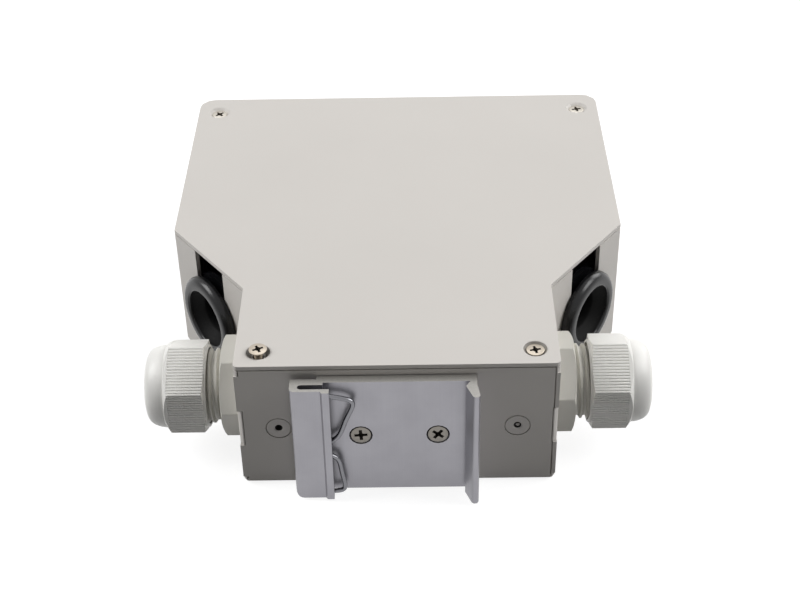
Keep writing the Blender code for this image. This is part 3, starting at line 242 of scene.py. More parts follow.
def bakeIn(piece):
    workOn(piece)
    for modifier in list(piece.modifiers):
        bpy.ops.object.modifier_apply(modifier=modifier.name)


def settle(piece, place=Matrix()):
    piece.matrix_world = place @ piece.matrix_world
    workOn(piece)
    bpy.ops.object.transform_apply(location=True, rotation=True, scale=True)


def copyOf(piece, name):
    twin = piece.copy()
    twin.data = piece.data.copy()
    twin.name = name
    twin.data.name = name
    bpy.context.scene.collection.objects.link(twin)
    return twin


def closeUp(piece, fillEnds=False):
    # Doubles are merged, open ends filled where asked, and the faces turned outwards.
    editMode(piece)
    bpy.ops.mesh.select_all(action="SELECT")
    bpy.ops.mesh.remove_doubles(threshold=0.002 * mm)
    if fillEnds:
        bpy.ops.mesh.select_all(action="SELECT")
        bpy.ops.mesh.fill_holes(sides=0)
        bpy.ops.mesh.select_all(action="SELECT")
    bpy.ops.mesh.normals_make_consistent(inside=False)
    objectMode()


def addBlock(middle, size, turn=0.0):
    # A block in millimetres, turned about Z by degrees
    bpy.ops.object.select_all(action="DESELECT")
    bpy.ops.mesh.primitive_cube_add(size=1, location=[v * mm for v in middle],
                                    rotation=(0, 0, math.radians(turn)), scale=[v * mm for v in size])
    return bpy.context.object


def smoothBy(piece, degrees):
    workOn(piece)
    bpy.ops.object.shade_smooth_by_angle(angle=math.radians(degrees))


def cutWith(piece, tool, operation="DIFFERENCE"):
    change = piece.modifiers.new("shape", "BOOLEAN")
    change.operation = operation
    change.solver = "EXACT"
    change.object = tool
    bakeIn(piece)
    bpy.data.objects.remove(tool)


def roundEdges(piece, width, segments):
    change = piece.modifiers.new("edges", "BEVEL")
    change.width = width
    change.segments = segments
    change.limit_method = "ANGLE"
    change.angle_limit = math.radians(30)
    bakeIn(piece)


def dress(piece, finish, node):
    # The piece stands for a CAD node, takes its finish and moves with its body.
    piece.data.materials.clear()
    piece.data.materials.append(finish)
    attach(piece, bodyOfNode[node])
    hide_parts(node)


def coatFaces(piece, finish, wanted):
    # Gives the faces that pass the test a second finish.
    piece.data.materials.append(finish)
    for face in piece.data.polygons:
        if wanted(face):
            face.material_index = len(piece.data.materials) - 1


def scaled(outline):
    # Pairs of radius and height in millimetres become metres.
    return [(radius * mm, height * mm) for radius, height in outline]


def frameAt(place, outward):
    # Z points outwards and Y up.
    z = Vector(outward).normalized()
    x = Vector((0, 0, 1)).cross(z).normalized()
    turned = Matrix((x, z.cross(x), z)).transposed().to_4x4()
    return Matrix.Translation(Vector(place)) @ turned


def turnedPiece(name, profile, steps=64):
    # The outline is drawn from one point by extruding it, then spun round Z.
    bpy.ops.object.select_all(action="DESELECT")
    bpy.ops.mesh.primitive_plane_add(size=1 * mm)
    piece = bpy.context.object
    piece.name = name
    bpy.ops.object.mode_set(mode="EDIT")
    bpy.ops.mesh.select_all(action="SELECT")
    bpy.ops.mesh.merge(type="CENTER")
    bpy.ops.transform.translate(value=(profile[0][0], 0, profile[0][1]))
    for before, after in zip(profile, profile[1:]):
        step = (after[0] - before[0], 0, after[1] - before[1])
        bpy.ops.mesh.extrude_vertices_move(TRANSFORM_OT_translate={"value": step})
    objectMode()
    if profile[0][0] > 0:
        pick(piece, lambda vertex: vertex.index in (0, len(profile) - 1))
        bpy.ops.mesh.edge_face_add()
        objectMode()
    editMode(piece)
    bpy.ops.mesh.select_all(action="SELECT")
    bpy.ops.mesh.spin(steps=steps, angle=2 * math.pi, center=(0, 0, 0), axis=(0, 0, 1))
    objectMode()
    closeUp(piece)
    return piece


# Sheet metal, adapters and caps keep their CAD form, with the edges rounded as paint or a mould rounds them.
sheetSmooth = 35  # degrees
flatWithin = math.radians(0.5)


def evenShading(piece, smooth):
    # Broad flat faces keep their own shading, and the rounded edges blend into them.
    smoothBy(piece, smooth)
    piece.modifiers.new("shading", "WEIGHTED_NORMAL").keep_sharp = True
    bakeIn(piece)


def roundedCopy(node, name, finish, width, segments=2, shape=None):
    piece = copyOf(nodes[node], name)
    piece.parent = None
    editMode(piece)
    bpy.ops.mesh.select_all(action="SELECT")
    bpy.ops.mesh.remove_doubles(threshold=0.001 * mm)
    bpy.ops.mesh.dissolve_limited(angle_limit=flatWithin)
    objectMode()
    if shape:
        shape(piece)
    roundEdges(piece, width * mm, segments)
    evenShading(piece, sheetSmooth)
    dress(piece, finish, node)
    return piece


def squareNearCorners(tray):
    # The end flange is as wide as the neck and covers the walls' ends, but for notches at the tabs' bends.
    # On the right it stops short of the seam. On the left it closes the seam up to the slit at the top.
    size = {"half": 42.0, "near": -69.5, "sheet": 1.2, "low": 2.4, "notch": (13.55, 25.45), "high": 37.1,
            "reach": {"left": 1.75, "right": 0.95}}
    for side, sign in (("left", -1), ("right", 1)):
        for low, high in ((size["low"], size["notch"][0]), (size["notch"][1], size["high"])):
            wide = size["reach"][side]
            middle = (sign * (size["half"] - wide / 2), size["near"] + size["sheet"] / 2, (low + high) / 2)
            cutWith(tray, addBlock(middle, (wide, size["sheet"], high - low)), "UNION")
    editMode(tray)
    bpy.ops.mesh.select_all(action="SELECT")
    bpy.ops.mesh.dissolve_limited(angle_limit=flatWithin)
    objectMode()


def narrowCapEnd(cap):
    # The cap's free end is drawn in, as a moulded cap's is.
    settings = {"from": 86.5, "height": 0.7, "width": 0.95}
    across, heights = [corner[0] for corner in cap.bound_box], [corner[2] for corner in cap.bound_box]
    middle = ((min(across) + max(across)) / 2, settings["from"] * mm, (min(heights) + max(heights)) / 2)
    pick(cap, lambda vertex: vertex.co.y > settings["from"] * mm)
    bpy.ops.transform.resize(value=(settings["width"], 1, settings["height"]), center_override=middle)
    objectMode()


edgeWidths = {"cover_plate": 0.35, "housing_tray": 0.2, "rail_clip": 0.18, "adapter_panel": 0.2}
mouldEdges = {"adapter": 0.2, "cap": 0.35}
sinks = {"top": 40.4, "sheet": 1.2, "old": 3.7, "rim": 3.12, "shadeReach": 3.2, "near": (35.8, -63.5),
         "far": (57.6, 61.0)}
for node, width in edgeWidths.items():
    finish = extrudedAluminium if node == "rail_clip" else powderCoat
    roundedCopy(node, node.replace("_", ".") + ".finished", finish, width,
                shape=squareNearCorners if node == "housing_tray" else None)


def fitSinks():
    # The cover's four sinks are closed and cut again to suit the heads.
    top, sheet, rim, old = sinks["top"], sinks["sheet"], sinks["rim"], sinks["old"]
    slip = 0.02  # keeps the plugs' faces off the cover's own
    cover = bpy.data.objects["cover.plate.finished"]
    plug = turnedPiece("plug", scaled([(0, slip), (old, slip), (old, sheet - slip), (0, sheet - slip)]), 48)
    outline = [(0, -0.2), (rim - sheet, -0.2), (rim - sheet + slip, slip), (rim, sheet - slip),
               (rim + 0.3, sheet + 0.3), (0, sheet + 0.3)]
    sink = turnedPiece("sink", scaled(outline), 48)
    places = [(sign * x, y) for x, y in (sinks["near"], sinks["far"]) for sign in (-1, 1)]
    for tool, operation in ((plug, "UNION"), (sink, "DIFFERENCE")):
        for x, y in places:
            spot = copyOf(tool, "spot")
            settle(spot, Matrix.Translation(Vector((x, y, top - sheet)) * mm))
            cutWith(cover, spot, operation)
        bpy.data.objects.remove(tool)
    evenShading(cover, sheetSmooth)


def inNearSink(face):
    x, y = sinks["near"]
    away = math.hypot(abs(face.center.x) - x * mm, face.center.y - y * mm)
    return 39.25 * mm < face.center.z < 40.36 * mm and away < sinks["shadeReach"] * mm


fitSinks()
# Painted shade: the near sinks round the heads take a darker grey.
coatFaces(bpy.data.objects["cover.plate.finished"], sinkShade, inNearSink)
coatFaces(bpy.data.objects["rail.clip.finished"], sawnAluminium, lambda face: abs(face.normal.z) > 0.8)
for index in range(1, 7):
    roundedCopy("adapter_%d" % index, "adapter.housing.%d" % index, blueAdapter, mouldEdges["adapter"])
    roundedCopy("outer_cap_%d" % index, "outer.cap.body.%d" % index, whiteCap, mouldEdges["cap"], 3,
                narrowCapEnd)
    roundedCopy("inner_cap_%d" % index, "inner.cap.body.%d" % index, whiteCap, mouldEdges["cap"])
print("sheet metal, adapters and caps finished")


# Cable glands: a hexagon collar, a coarse thread, and a ribbed hexagon nut with a domed end
gland = {"flats": 24.0, "collarStart": 0.3, "collarEnd": 5.4, "stub": 9.0, "threadEnd": 14.9, "cageEnd": 18.4,
         "crest": 10.2, "root": 9.35, "pitch": 1.9, "turns": 4, "bore": 6.3, "fingerSlot": 1.2,
         "fingerTurns": (2, 62, 122), "nutFlats": 23.2, "nutStart": 9.8, "nutHexEnd": 20.6, "nutEnd": 26.0,
         "nutChamfer": 0.4, "nutRise": 1.6, "nutRoom": 0.3, "skirt": 0.6, "ribsPerFlat": 16, "ribDepth": 0.3,
         "ribEnd": 19.7, "dome": 11.3, "domeReach": 0.55, "domeRise": 0.96, "domeLip": 0.62, "mouth": 6.2,
         "throat": 2.2, "sealRadius": 5.9, "sealBore": 4.0, "steps": 96}
glandPlaces = {"left": frameAt((-0.042, -0.0513, 0.0194), (-1, 0, 0)),
               "right": frameAt((0.042, -0.0513, 0.0194), (1, 0, 0))}
# Each hexagon stopped where it was tight, so the four stand at different angles.
glandTurns = {"gland_nut": {"left": -1.6, "right": 4.6}, "gland_body": {"left": -25.5, "right": 12.3},
              "gland_seal": {"left": 0.0, "right": 0.0}}


def hexagonBar(name, flats, low, high, cuts=0):
    # A circle of six corners, its sides divided, pulled up to a bar along Z.
    corner = flats / math.sqrt(3)
    bpy.ops.object.select_all(action="DESELECT")
    bpy.ops.mesh.primitive_circle_add(vertices=6, radius=corner * mm, fill_type="NOTHING",
                                      location=(0, 0, low * mm))
    bar = bpy.context.object
    bar.name = name
    bpy.ops.object.transform_apply(location=True, rotation=True, scale=True)
    bpy.ops.object.mode_set(mode="EDIT")
    bpy.ops.mesh.select_all(action="SELECT")
    if cuts:
        bpy.ops.mesh.subdivide(number_cuts=cuts)
    bpy.ops.mesh.edge_face_add()
    bpy.ops.mesh.extrude_region_move(TRANSFORM_OT_translate={"value": (0, 0, (high - low) * mm)})
    bpy.ops.mesh.select_all(action="SELECT")
    bpy.ops.mesh.normals_make_consistent(inside=False)
    objectMode()
    return bar


def ribFlats(bar):
    # Fine grooves along the flats: every fourth column of the bar goes in.
    corner = gland["nutFlats"] / math.sqrt(3) * mm
    step = corner / (4 * gland["ribsPerFlat"])

    def inGroove(vertex):
        spot = vertex.co
        sector = math.floor((math.degrees(math.atan2(spot.y, spot.x)) - 30) / 60 + 1e-4)
        start = Matrix.Rotation(math.radians(60 * sector + 30), 2) @ Vector((corner, 0))
        return round((Vector(spot[:2]) - start).length / step) % 4 == 2

    pick(bar, inGroove)
    inward = 1 - gland["ribDepth"] / (gland["nutFlats"] / 2)
    bpy.ops.transform.resize(value=(inward, inward, 1), center_override=(0, 0, 0))
    objectMode()


def makeGlandNut():
    flats = gland["nutFlats"]
    nut = hexagonBar("nut", flats, gland["nutStart"], gland["ribEnd"], 4 * gland["ribsPerFlat"] - 1)
    ribFlats(nut)
    # A plain rim, a hair wider so that no two faces lie in one plane, ends the ribs on the dome's side.
    rim = hexagonBar("rim", flats + 0.04, gland["ribEnd"] - 0.2, gland["nutHexEnd"])
    cutWith(nut, rim, "UNION")
    start, end = gland["nutStart"], gland["nutHexEnd"]
    flat, corner = flats / 2, flats / math.sqrt(3)
    envelope = [(0, start - 0.01), (flat, start - 0.01), (corner + 0.2, start + gland["nutChamfer"]),
                (corner + 0.2, end - gland["nutRise"]), (flat - 0.1, end + 0.01), (0, end + 0.01)]
    cutWith(nut, turnedPiece("envelope", scaled(envelope), gland["steps"]), "INTERSECT")
    wide, tip, mouth, skirt = gland["dome"], gland["nutEnd"], gland["mouth"], gland["skirt"]
    outline = [(0, start - skirt), (wide - 0.2, start - skirt), (wide, start - skirt + 0.2),
               (wide, start + 0.3), (0, start + 0.3)]
    cutWith(nut, turnedPiece("skirt", scaled(outline), gland["steps"]), "UNION")
    run = tip - end
    dome = [(0, end - 1.0), (wide - 0.4, end - 1.0), (wide, end)]
    for angle in range(10, 90, 10):
        cos, sin = math.cos(math.radians(angle)), math.sin(math.radians(angle))
        dome.append((wide - gland["domeReach"] * run * (1 - cos), end + gland["domeRise"] * run * sin))
    dome += [(wide - gland["domeLip"] * run, tip), (mouth, tip), (mouth - 1, tip), (0, tip)]
    cutWith(nut, turnedPiece("dome", scaled(dome), gland["steps"]), "UNION")
    throat = tip - gland["throat"]
    bore = gland["crest"] + gland["nutRoom"]
    inside = [(0, start - 1), (bore, start - 1), (bore, throat - 5.4), (bore - 0.9, throat - 4.5),
              (mouth + 0.7, throat), (mouth, throat + 0.6), (mouth, tip - 0.5), (mouth + 0.6, tip + 0.1),
              (mouth + 0.6, tip + 1), (0, tip + 1)]
    cutWith(nut, turnedPiece("inside", scaled(inside), gland["steps"]))
    smoothBy(nut, 24)
    return nut


def makeGlandThread():
    # One crest's outline, carried up a helix, with its two ends closed.
    half = gland["pitch"] / 2
    foot, crest = gland["root"] - 0.3, gland["crest"]
    outline = [(foot, -half * 0.9), (crest, -half * 0.22), (crest, half * 0.22), (foot, half * 0.9)]
    bpy.ops.object.select_all(action="DESELECT")
    bpy.ops.mesh.primitive_plane_add(size=1 * mm)
    thread = bpy.context.object
    editMode(thread)
    bpy.ops.mesh.select_all(action="SELECT")
    bpy.ops.mesh.delete(type="ONLY_FACE")
    objectMode()
    for vertex, (radius, height) in zip([thread.data.vertices[i] for i in (0, 1, 3, 2)], outline):
        vertex.co = (radius * mm, 0, (height + gland["collarEnd"] + 0.75) * mm)
    change = thread.modifiers.new("helix", "SCREW")
    change.steps = 64
    change.render_steps = 64
    change.screw_offset = gland["pitch"] * mm
    change.iterations = gland["turns"]
    bakeIn(thread)
    closeUp(thread, fillEnds=True)
    return thread


def makeGlandBody():
    body = hexagonBar("collar", gland["flats"], gland["collarStart"], gland["collarEnd"])
    flat, corner = gland["flats"] / 2, gland["flats"] / math.sqrt(3)
    end = gland["collarEnd"]
    envelope = [(0, 0.2), (corner - 0.25, 0.2), (corner - 0.1, 0.6), (corner - 0.1, end - 0.7),
                (flat + 0.9, end - 0.3), (flat - 0.2, end + 0.01), (0, end + 0.01)]
    cutWith(body, turnedPiece("envelope", scaled(envelope), gland["steps"]), "INTERSECT")
    root, cage, stub, threadEnd = gland["root"], gland["cageEnd"], gland["stub"], gland["threadEnd"]
    outline = [(0, -stub), (root + 0.2, -stub), (root + 0.6, -stub + 0.5), (root + 0.6, 0.9), (root, 0.9),
               (root, threadEnd), (root - 0.3, threadEnd + 0.1), (root - 2.0, cage), (0, cage)]
    core = turnedPiece("core", scaled(outline), gland["steps"])
    for turn in gland["fingerTurns"]:
        middle = (0, 0, (cage + threadEnd + 1.4) / 2)
        cutWith(core, addBlock(middle, (22, gland["fingerSlot"], 4.4), turn))
    cutWith(body, core, "UNION")
    cutWith(body, makeGlandThread(), "UNION")
    bore = gland["bore"]
    inside = [(0, -stub - 1), (bore + 0.5, -stub - 1), (bore + 0.5, -stub + 0.1), (bore, -stub + 0.6),
              (bore, cage + 1), (0, cage + 1)]
    cutWith(body, turnedPiece("inside", scaled(inside), gland["steps"]))
    smoothBy(body, 24)
    return body


def makeGlandSeal():
    start, end = gland["collarEnd"] + 3.0, gland["nutEnd"] - 2.4
    outer, bore = gland["sealRadius"], gland["sealBore"]
    outline = [(bore, start + 0.4), (bore + 0.4, start), (outer, start), (outer, end - 1.1),
               (outer + 0.6, end - 1.1), (outer + 0.6, end - 0.2), (outer + 0.4, end), (bore + 0.8, end),
               (bore + 0.25, end - 0.2), (bore, end - 0.8)]
    seal = turnedPiece("seal", scaled(outline), 64)
    smoothBy(seal, 40)
    return seal


# The nuts' nylon is painted lighter and the bodies' darker, as painted light and shade.
for part, maker, finish in (("gland_nut", makeGlandNut, nutNylonLit), ("gland_body", makeGlandBody, bodyNylonShaded),
                            ("gland_seal", makeGlandSeal, blackRubber)):
    model = maker()
    for side, place in glandPlaces.items():
        piece = copyOf(model, part.replace("_", ".") + ".detail." + side)
        settle(piece, place @ Matrix.Rotation(math.radians(glandTurns[part][side]), 4, "Z"))
        dress(piece, finish, part + "_" + side)
    bpy.data.objects.remove(model)
print("cable glands modelled")


# Rubber grommets, pushed down the entry slots: a proud rounded flange, a groove and a back flange
def makeGrommets():
    size = {"flange": 12.4, "proud": 3.3, "shoulder": 2.2, "mouth": 8.5, "bore": 5.9, "groove": 6.95,
            "back": 1.5, "backFlange": 2.0, "gap": 0.3, "lip": 0.72, "place": (53.1, -21.0, 20.5),
            "wallRun": (29.0, 22.2)}
    flange, proud, back, bore = size["flange"], size["proud"], size["back"], size["bore"]
    shoulder, mouth, lip, gap = size["shoulder"], size["mouth"], size["lip"], size["gap"]
    end = -back - size["backFlange"]
    outline = [(bore, end), (flange - 0.4, end), (flange, end + 0.4), (flange, -back),
               (size["groove"], -back), (size["groove"], gap), (flange - 0.15, gap), (flange, gap + 0.15)]
    for angle in range(0, 91, 10):
        cos, sin = math.cos(math.radians(angle)), math.sin(math.radians(angle))
        outline.append((flange - shoulder * (1 - cos), proud - shoulder * (1 - sin)))
    for angle in range(90, 181, 15):
        cos, sin = math.cos(math.radians(angle)), math.sin(math.radians(angle))
        outline.append((mouth + lip * (1 + cos), proud - lip * (1 - sin)))
    outline += [(mouth - 0.5, 1.2), (bore + 0.2, -0.3), (bore, -0.8)]
    model = turnedPiece("grommet", scaled(outline), 80)
    smoothBy(model, 40)
    throat = {face.index for face in model.data.polygons if face.center.z < 2.45 * mm
              and math.hypot(face.center.x, face.center.y) < (mouth + 0.1) * mm}
    x, y, z = size["place"]
    run, rise = size["wallRun"]
    length = math.hypot(rise, run)
    for side, sign in (("left", -1), ("right", 1)):
        place = frameAt((sign * x * mm, y * mm, z * mm), (sign * run / length, -rise / length, 0))
        piece = copyOf(model, "grommet.ring." + side)
        settle(piece, place)
        dress(piece, blackRubber, "grommet_" + side)
        # The throat is painted near black, as painted shade down the hole.
        coatFaces(piece, throatShadeRubber, lambda face: face.index in throat)
    bpy.data.objects.remove(model)


makeGrommets()
print("grommets modelled")


# Cross-recess screws: countersunk in the cover and the clip, pan heads on the adapter panel
screwKinds = {
    "cover": {"head": 2.38, "shank": 1.22, "cone": 0.75, "length": 6.5, "edge": 0.25, "pitch": 0.45,
              "rise": 0.0, "recessWidth": 3.1, "recessArm": 0.72, "recessDepth": 1.15},
    "clip": {"head": 2.66, "shank": 1.4, "cone": 1.26, "length": 8.0, "edge": 0.25, "pitch": 0.5,
             "rise": 0.0, "recessWidth": 3.6, "recessArm": 0.9, "recessDepth": 1.4},
    "panel": {"head": 2.8, "shank": 1.4, "length": 6.0, "edge": 0.1, "pitch": 0.5, "rise": 2.0,
              "recessWidth": 3.0, "recessArm": 0.7, "recessDepth": 1.4},
}
screwDetail = {"grooveDepth": 0.24, "recessFoot": 0.62, "steps": 48, "smooth": 32}


def recessTool(kind):
    # Two tapered bars crossed, with a small cone where they meet.
    bars = []
    top, depth, foot = kind["rise"], kind["recessDepth"], screwDetail["recessFoot"]
    for turn in (0, 90):
        size = (kind["recessWidth"], kind["recessArm"], depth + 0.2)
        bar = addBlock((0, 0, top + 0.1 - depth / 2), size, turn)
        bpy.ops.object.transform_apply(location=True, rotation=True, scale=True)
        pick(bar, lambda vertex: vertex.co.z < (top - 0.5) * mm)
        bpy.ops.transform.resize(value=(foot, foot, 1), center_override=(0, 0, 0))
        objectMode()
        bars.append(bar)
    cutWith(bars[0], bars[1], "UNION")
    cone = [(0, top - depth - 0.25), (0.25, top - depth), (0.7, top - 0.2), (0.82, top + 0.15),
            (0, top + 0.15)]
    cutWith(bars[0], turnedPiece("cone", scaled(cone), 24), "UNION")
    return bars[0]


def makeScrew(name):
    # The grooved shank is drawn as rings, then the head's cone and rim, or the pan's dome.
    kind = screwKinds[name]
    head, shank, edge, rise = kind["head"], kind["shank"], kind["edge"], kind["rise"]
    root = shank - screwDetail["grooveDepth"]
    height = -kind["length"] + 0.3
    outline = [(0, -kind["length"]), (shank - 0.4, -kind["length"]), (shank - 0.2, height)]
    neck = 0.0 if rise else -kind["cone"] - edge
    while height < neck - kind["pitch"]:
        outline += [(shank, height + kind["pitch"] * 0.5), (root, height + kind["pitch"])]
        height += kind["pitch"]
    outline += [(shank, neck)]
    if rise:
        outline += [(head - edge, 0), (head, edge), (head, rise * 0.42), (head - 0.2, rise * 0.66),
                    (head - 0.6, rise * 0.86), (head - 1.2, rise * 0.97), (head - 1.9, rise), (0, rise)]
    else:
        outline += [(head - 0.05, -edge - 0.05), (head, -edge), (head, -0.1), (head - 0.04, -0.03),
                    (head - 0.1, 0), (0, 0)]
    made = turnedPiece(name + "Screw", scaled(outline), screwDetail["steps"])
    cutWith(made, recessTool(kind))
    smoothBy(made, screwDetail["smooth"])
    return made


def recessFaces(model, kind):
    # Faces that look inwards or up from below the head's top
    found = set()
    for face in model.data.polygons:
        down, out = kind["rise"] - face.center.z / mm, math.hypot(face.center.x, face.center.y) / mm
        limit = kind["head"] - 0.5 if down < 0.9 else kind["shank"] - 0.27
        if 0.05 < down < 1.5 and out < limit and face.normal.z > -0.02:
            found.add(face.index)
    return found


def placeScrews():
    # Seated cover screws lie half a millimetre down in their sinks, and the near left one has come up.
    seat, lift, nearRightLift, shankFrom = 39.9, 1.6, 0.2, 1.02
    (nearX, nearY), (farX, farY) = sinks["near"], sinks["far"]
    places = {
        "cover_screw_near_left": ("cover", (-nearX, nearY, seat + lift), (0, 0, 1), 24),
        "cover_screw_near_right": ("cover", (nearX, nearY, seat + nearRightLift), (0, 0, 1), 12),
        "cover_screw_far_left": ("cover", (-farX, farY, seat), (0, 0, 1), 40),
        "cover_screw_far_right": ("cover", (farX, farY, seat), (0, 0, 1), 12),
        "clip_screw_left": ("clip", (-9.7, -72.35, 19.3), (0, -1, 0), 4),
        "clip_screw_right": ("clip", (10.5, -72.35, 19.3), (0, -1, 0), 52),
    }
    for index, (x, z) in enumerate([(x, z) for x in (-56.8, 56.8) for z in (8.05, 32.05)], 1):
        places["panel_screw_%d" % index] = ("panel", (x, 69.7, z), (0, 1, 0), 20 * index)
    models = {name: makeScrew(name) for name in screwKinds}
    recesses = {name: recessFaces(models[name], kind) for name, kind in screwKinds.items()}
    # The clip's screws take the darker nickel, as painted shade.
    finishes = {"clip": clipScrewNickelShade, "cover": nickelPlate, "panel": nickelPlate}
    for node, (kind, place, outward, turn) in places.items():
        piece = copyOf(models[kind], node.replace("_", ".") + ".detail")
        axes = Matrix() if outward[2] else frameAt((0, 0, 0), outward)
        turned = axes @ Matrix.Rotation(math.radians(turn), 4, "Z")
        settle(piece, Matrix.Translation(Vector(place) * mm) @ turned)
        far = node.startswith("cover_screw_far")
        dress(piece, brightNickel if far else finishes[kind], node)
        # Painted shade in the cross recesses: the near screws' with the recess finish, the far screws' with
        # the shank finish.
        coatFaces(piece, shankAndRecessShade if far else recessShade, lambda face: face.index in recesses[kind])
        # Painted shade on the cover screws' shanks below the heads.
        if kind == "cover":
            coatFaces(piece, shankAndRecessShade, lambda face: face.center.z < (place[2] - shankFrom) * mm
                      and face.index not in recesses[kind])
    for model in models.values():
        bpy.data.objects.remove(model)


placeScrews()
print("screws modelled")


# Flush painted rivets in the near face. The right one still holds the stub of its mandrel.
def makeRivets():
    size = {"head": 3.22, "edge": 0.4, "hole": 1.0, "holeDepth": 2.6, "shank": 1.5, "bulb": 3.0, "bulge": 2.1,
            "end": 5.0, "stub": 0.62, "place": (31.4, -69.5, 19.5), "darkFrom": 0.35}
    head, edge, hole, deep = size["head"], size["edge"], size["hole"], size["holeDepth"]
    end, bulb, bulge, shank = size["end"], size["bulb"], size["bulge"], size["shank"]
    outline = [(0, -end), (bulge, -end), (bulge, -bulb - 0.3), (shank, -bulb), (shank, -edge),
               (head, -edge + 0.05), (head, -0.12), (head - 0.12, 0), (hole + 0.25, -0.02), (hole, -0.25),
               (hole - 0.05, -deep), (0, -deep)]
    model = turnedPiece("rivet", scaled(outline), 48)
    smoothBy(model, 32)
    x, y, z = size["place"]
    for side, sign in (("left", -1), ("right", 1)):
        piece = copyOf(model, "tray.rivet.flush." + side)
        if side == "right":
            wide = size["stub"]
            stub = [(0, -deep - 0.3), (wide, -deep - 0.3), (wide * 0.9, -0.45), (wide * 0.4, -0.2), (0, -0.3)]
            mandrel = turnedPiece("mandrel", scaled(stub), 12)
            settle(mandrel, Matrix.Translation((0.1 * mm, -0.1 * mm, 0)) @ Matrix.Rotation(0.12, 4, "X"))
            cutWith(piece, mandrel, "UNION")
        settle(piece, frameAt((sign * x * mm, y * mm, z * mm), (0, -1, 0)))
        dress(piece, powderCoat, "tray_rivet_" + side)
        # Painted shade inside the rivet hole, past its first 0.35 mm.
        coatFaces(piece, rivetHoleShade, lambda face: face.center.y > (y + size["darkFrom"]) * mm
                  and math.hypot(face.center.x - sign * x * mm, face.center.z - z * mm) < hole * mm)
    bpy.data.objects.remove(model)


makeRivets()
print("rivets modelled")


# The wire spring, one bent wire in the clip's groove
def makeSpring():
    settings = {"wire": 1.3, "lip": -17.2, "top": 37.3, "low": 0.5, "depth": -74.15, "smooth": 8}
    # The two lobes' bends, across from the clip's lip, and up or down from its ends
    upper = [(-5.2, -4.6), (-4.7, -3.2), (-2.4, -2.8), (0.0, -3.2), (3.0, -3.8), (5.4, -4.8), (5.7, -6.6),
             (4.0, -10.8), (1.4, -17.0), (-3.6, -20.0)]
    lower = [(-3.6, 14.8), (0.0, 13.2), (1.5, 11.6), (2.2, 7.3), (2.8, 2.9), (2.2, 1.2), (0.0, 0.7),
             (-3.2, 0.9), (-5.2, 2.0)]
    corners = [Vector((x + settings["lip"], z + settings["top"])) for x, z in upper]
    corners += [Vector((x + settings["lip"], z + settings["low"])) for x, z in lower]
    # A smooth curve through the bends, four at a time
    padded = [corners[0], *corners, corners[-1]]
    route = []
    for index in range(1, len(padded) - 2):
        a, b, c, d = padded[index - 1:index + 3]
        for step in range(settings["smooth"]):
            t = step / settings["smooth"]
            route.append(0.5 * (2 * b + (c - a) * t + (2 * a - 5 * b + 4 * c - d) * t * t
                                + (3 * b - a - 3 * c + d) * t ** 3))
    route.append(corners[-1])
    data = bpy.data.curves.new("rail.spring.wire", "CURVE")
    data.dimensions = "3D"
    data.bevel_depth = settings["wire"] / 2 * mm
    data.bevel_resolution = 4
    data.use_fill_caps = True
    spline = data.splines.new("POLY")
    spline.points.add(len(route) - 1)
    for point, spot in zip(spline.points, route):
        point.co = (spot.x * mm, settings["depth"] * mm, spot.y * mm, 1)
    wire = bpy.data.objects.new("rail.spring.wire", data)
    bpy.context.scene.collection.objects.link(wire)
    workOn(wire)
    bpy.ops.object.convert(target="MESH")
    wire = bpy.context.object
    closeUp(wire)
    smoothBy(wire, 60)
    dress(wire, springWire, "rail_spring")


makeSpring()
print("spring bent")


# Camera where the photograph was taken from, lens 69.28 mm on a 36 mm sensor
def makeCamera():
    settings = {"place": (0.005637, -0.374467, 0.287756), "forward": (-0.01153793, 0.80248802, -0.59655667),
                "right": (0.99984519, 0.00133311, -0.01754459), "lens": 69.28}
    data = bpy.data.cameras.new("camera")
    data.lens = settings["lens"]
    data.sensor_width = 36.0
    data.clip_start = 0.01
    camera = bpy.data.objects.new("camera", data)
    bpy.context.scene.collection.objects.link(camera)
    back = -Vector(settings["forward"]).normalized()
    right = Vector(settings["right"]).normalized()
    turned = Matrix((right, back.cross(right), back)).transposed().to_4x4()
    camera.matrix_world = Matrix.Translation(Vector(settings["place"])) @ turned
    bpy.context.scene.camera = camera


def makeLamps():
    # Soft boxes: one high at each side, a weaker one behind on the right, and a faint one high at the back.
    lamps = {
        "topBack": {"place": (0.0, 0.45, 0.80), "size": 0.5, "watts": 0.7},
        "leftHigh": {"place": (-0.70, 0.02, 0.60), "size": 0.5, "watts": 6.05},
        "rightHigh": {"place": (0.70, -0.05, 0.60), "size": 0.5, "watts": 4.95},
        "rightBack": {"place": (0.7, 0.55, 0.45), "size": 0.5, "watts": 3.3},
    }
    aim = Vector((0, 0, 0.02))
    for name, lamp in lamps.items():
        data = bpy.data.lights.new(name, "AREA")
        data.energy = lamp["watts"]
        data.shape = "SQUARE"
        data.size = lamp["size"]
        light = bpy.data.objects.new(name, data)
        bpy.context.scene.collection.objects.link(light)
        toward = aim - Vector(lamp["place"])
        light.location = lamp["place"]
        light.rotation_mode = "QUATERNION"
        light.rotation_quaternion = toward.to_track_quat("-Z", "Y")


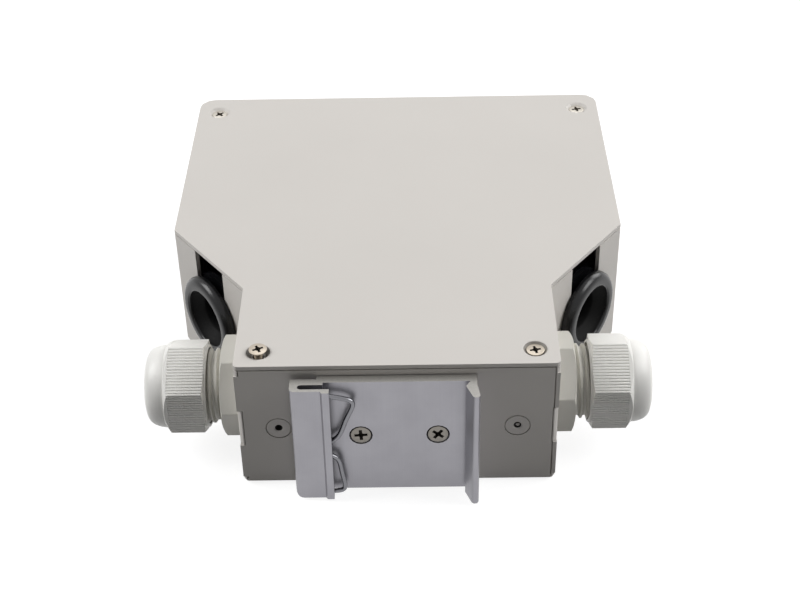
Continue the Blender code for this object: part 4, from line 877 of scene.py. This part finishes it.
def whoSees(tree):
    # One for rays from the camera or a glossy surface, and nought for the rest
    path = addNode(tree, "ShaderNodeLightPath")
    seen = addNode(tree, "ShaderNodeMath", None,
                   {0: path.outputs["Is Camera Ray"], 1: path.outputs["Is Glossy Ray"]}, operation="MAXIMUM")
    return path, seen


def makeStage():
    # A white floor that keeps the object's shadow, and a white world that lights it only a little.
    settings = {"glow": 0.86, "floorDiffuse": "#9C9C9C", "worldLight": 0.02, "floorSize": 8.0,
                "floorDrop": 0.0004}
    world = bpy.data.worlds.new("studio")
    bpy.context.scene.world = world
    world.use_nodes = True
    tree = world.node_tree
    tree.nodes.clear()
    path, seen = whoSees(tree)
    seenToo = addNode(tree, "ShaderNodeMath", None,
                      {0: seen.outputs[0], 1: path.outputs["Is Transmission Ray"]}, operation="MAXIMUM")
    strength = addNode(tree, "ShaderNodeMapRange", {"To Min": settings["worldLight"], "To Max": 1.0},
                       {"Value": seenToo.outputs[0]})
    back = addNode(tree, "ShaderNodeBackground", {"Color": (1, 1, 1, 1)}, {"Strength": strength.outputs[0]})
    addNode(tree, "ShaderNodeOutputWorld", links={"Surface": back.outputs[0]})

    bpy.ops.object.select_all(action="DESELECT")
    bpy.ops.mesh.primitive_plane_add(size=settings["floorSize"], location=(0, 0, -settings["floorDrop"]))
    floor = bpy.context.object
    floor.name = "floor"
    material = bpy.data.materials.new("floorPaper")
    material.use_nodes = True
    tree = material.node_tree
    tree.nodes.clear()
    seen = whoSees(tree)[1]
    diffuse = addNode(tree, "ShaderNodeBsdfDiffuse", {"Color": hexToLinear(settings["floorDiffuse"])})
    glow = addNode(tree, "ShaderNodeEmission", {"Color": (1, 1, 1, 1), "Strength": settings["glow"]})
    white = addNode(tree, "ShaderNodeAddShader", links={0: diffuse.outputs[0], 1: glow.outputs[0]})
    mixed = addNode(tree, "ShaderNodeMixShader", links={0: seen.outputs[0], 1: diffuse.outputs[0],
                                                        2: white.outputs[0]})
    addNode(tree, "ShaderNodeOutputMaterial", links={"Surface": mixed.outputs[0]})
    floor.data.materials.append(material)


makeCamera()
makeLamps()
makeStage()
bpy.context.scene.view_settings.view_transform = "Standard"
print("camera, lamps and floor placed")
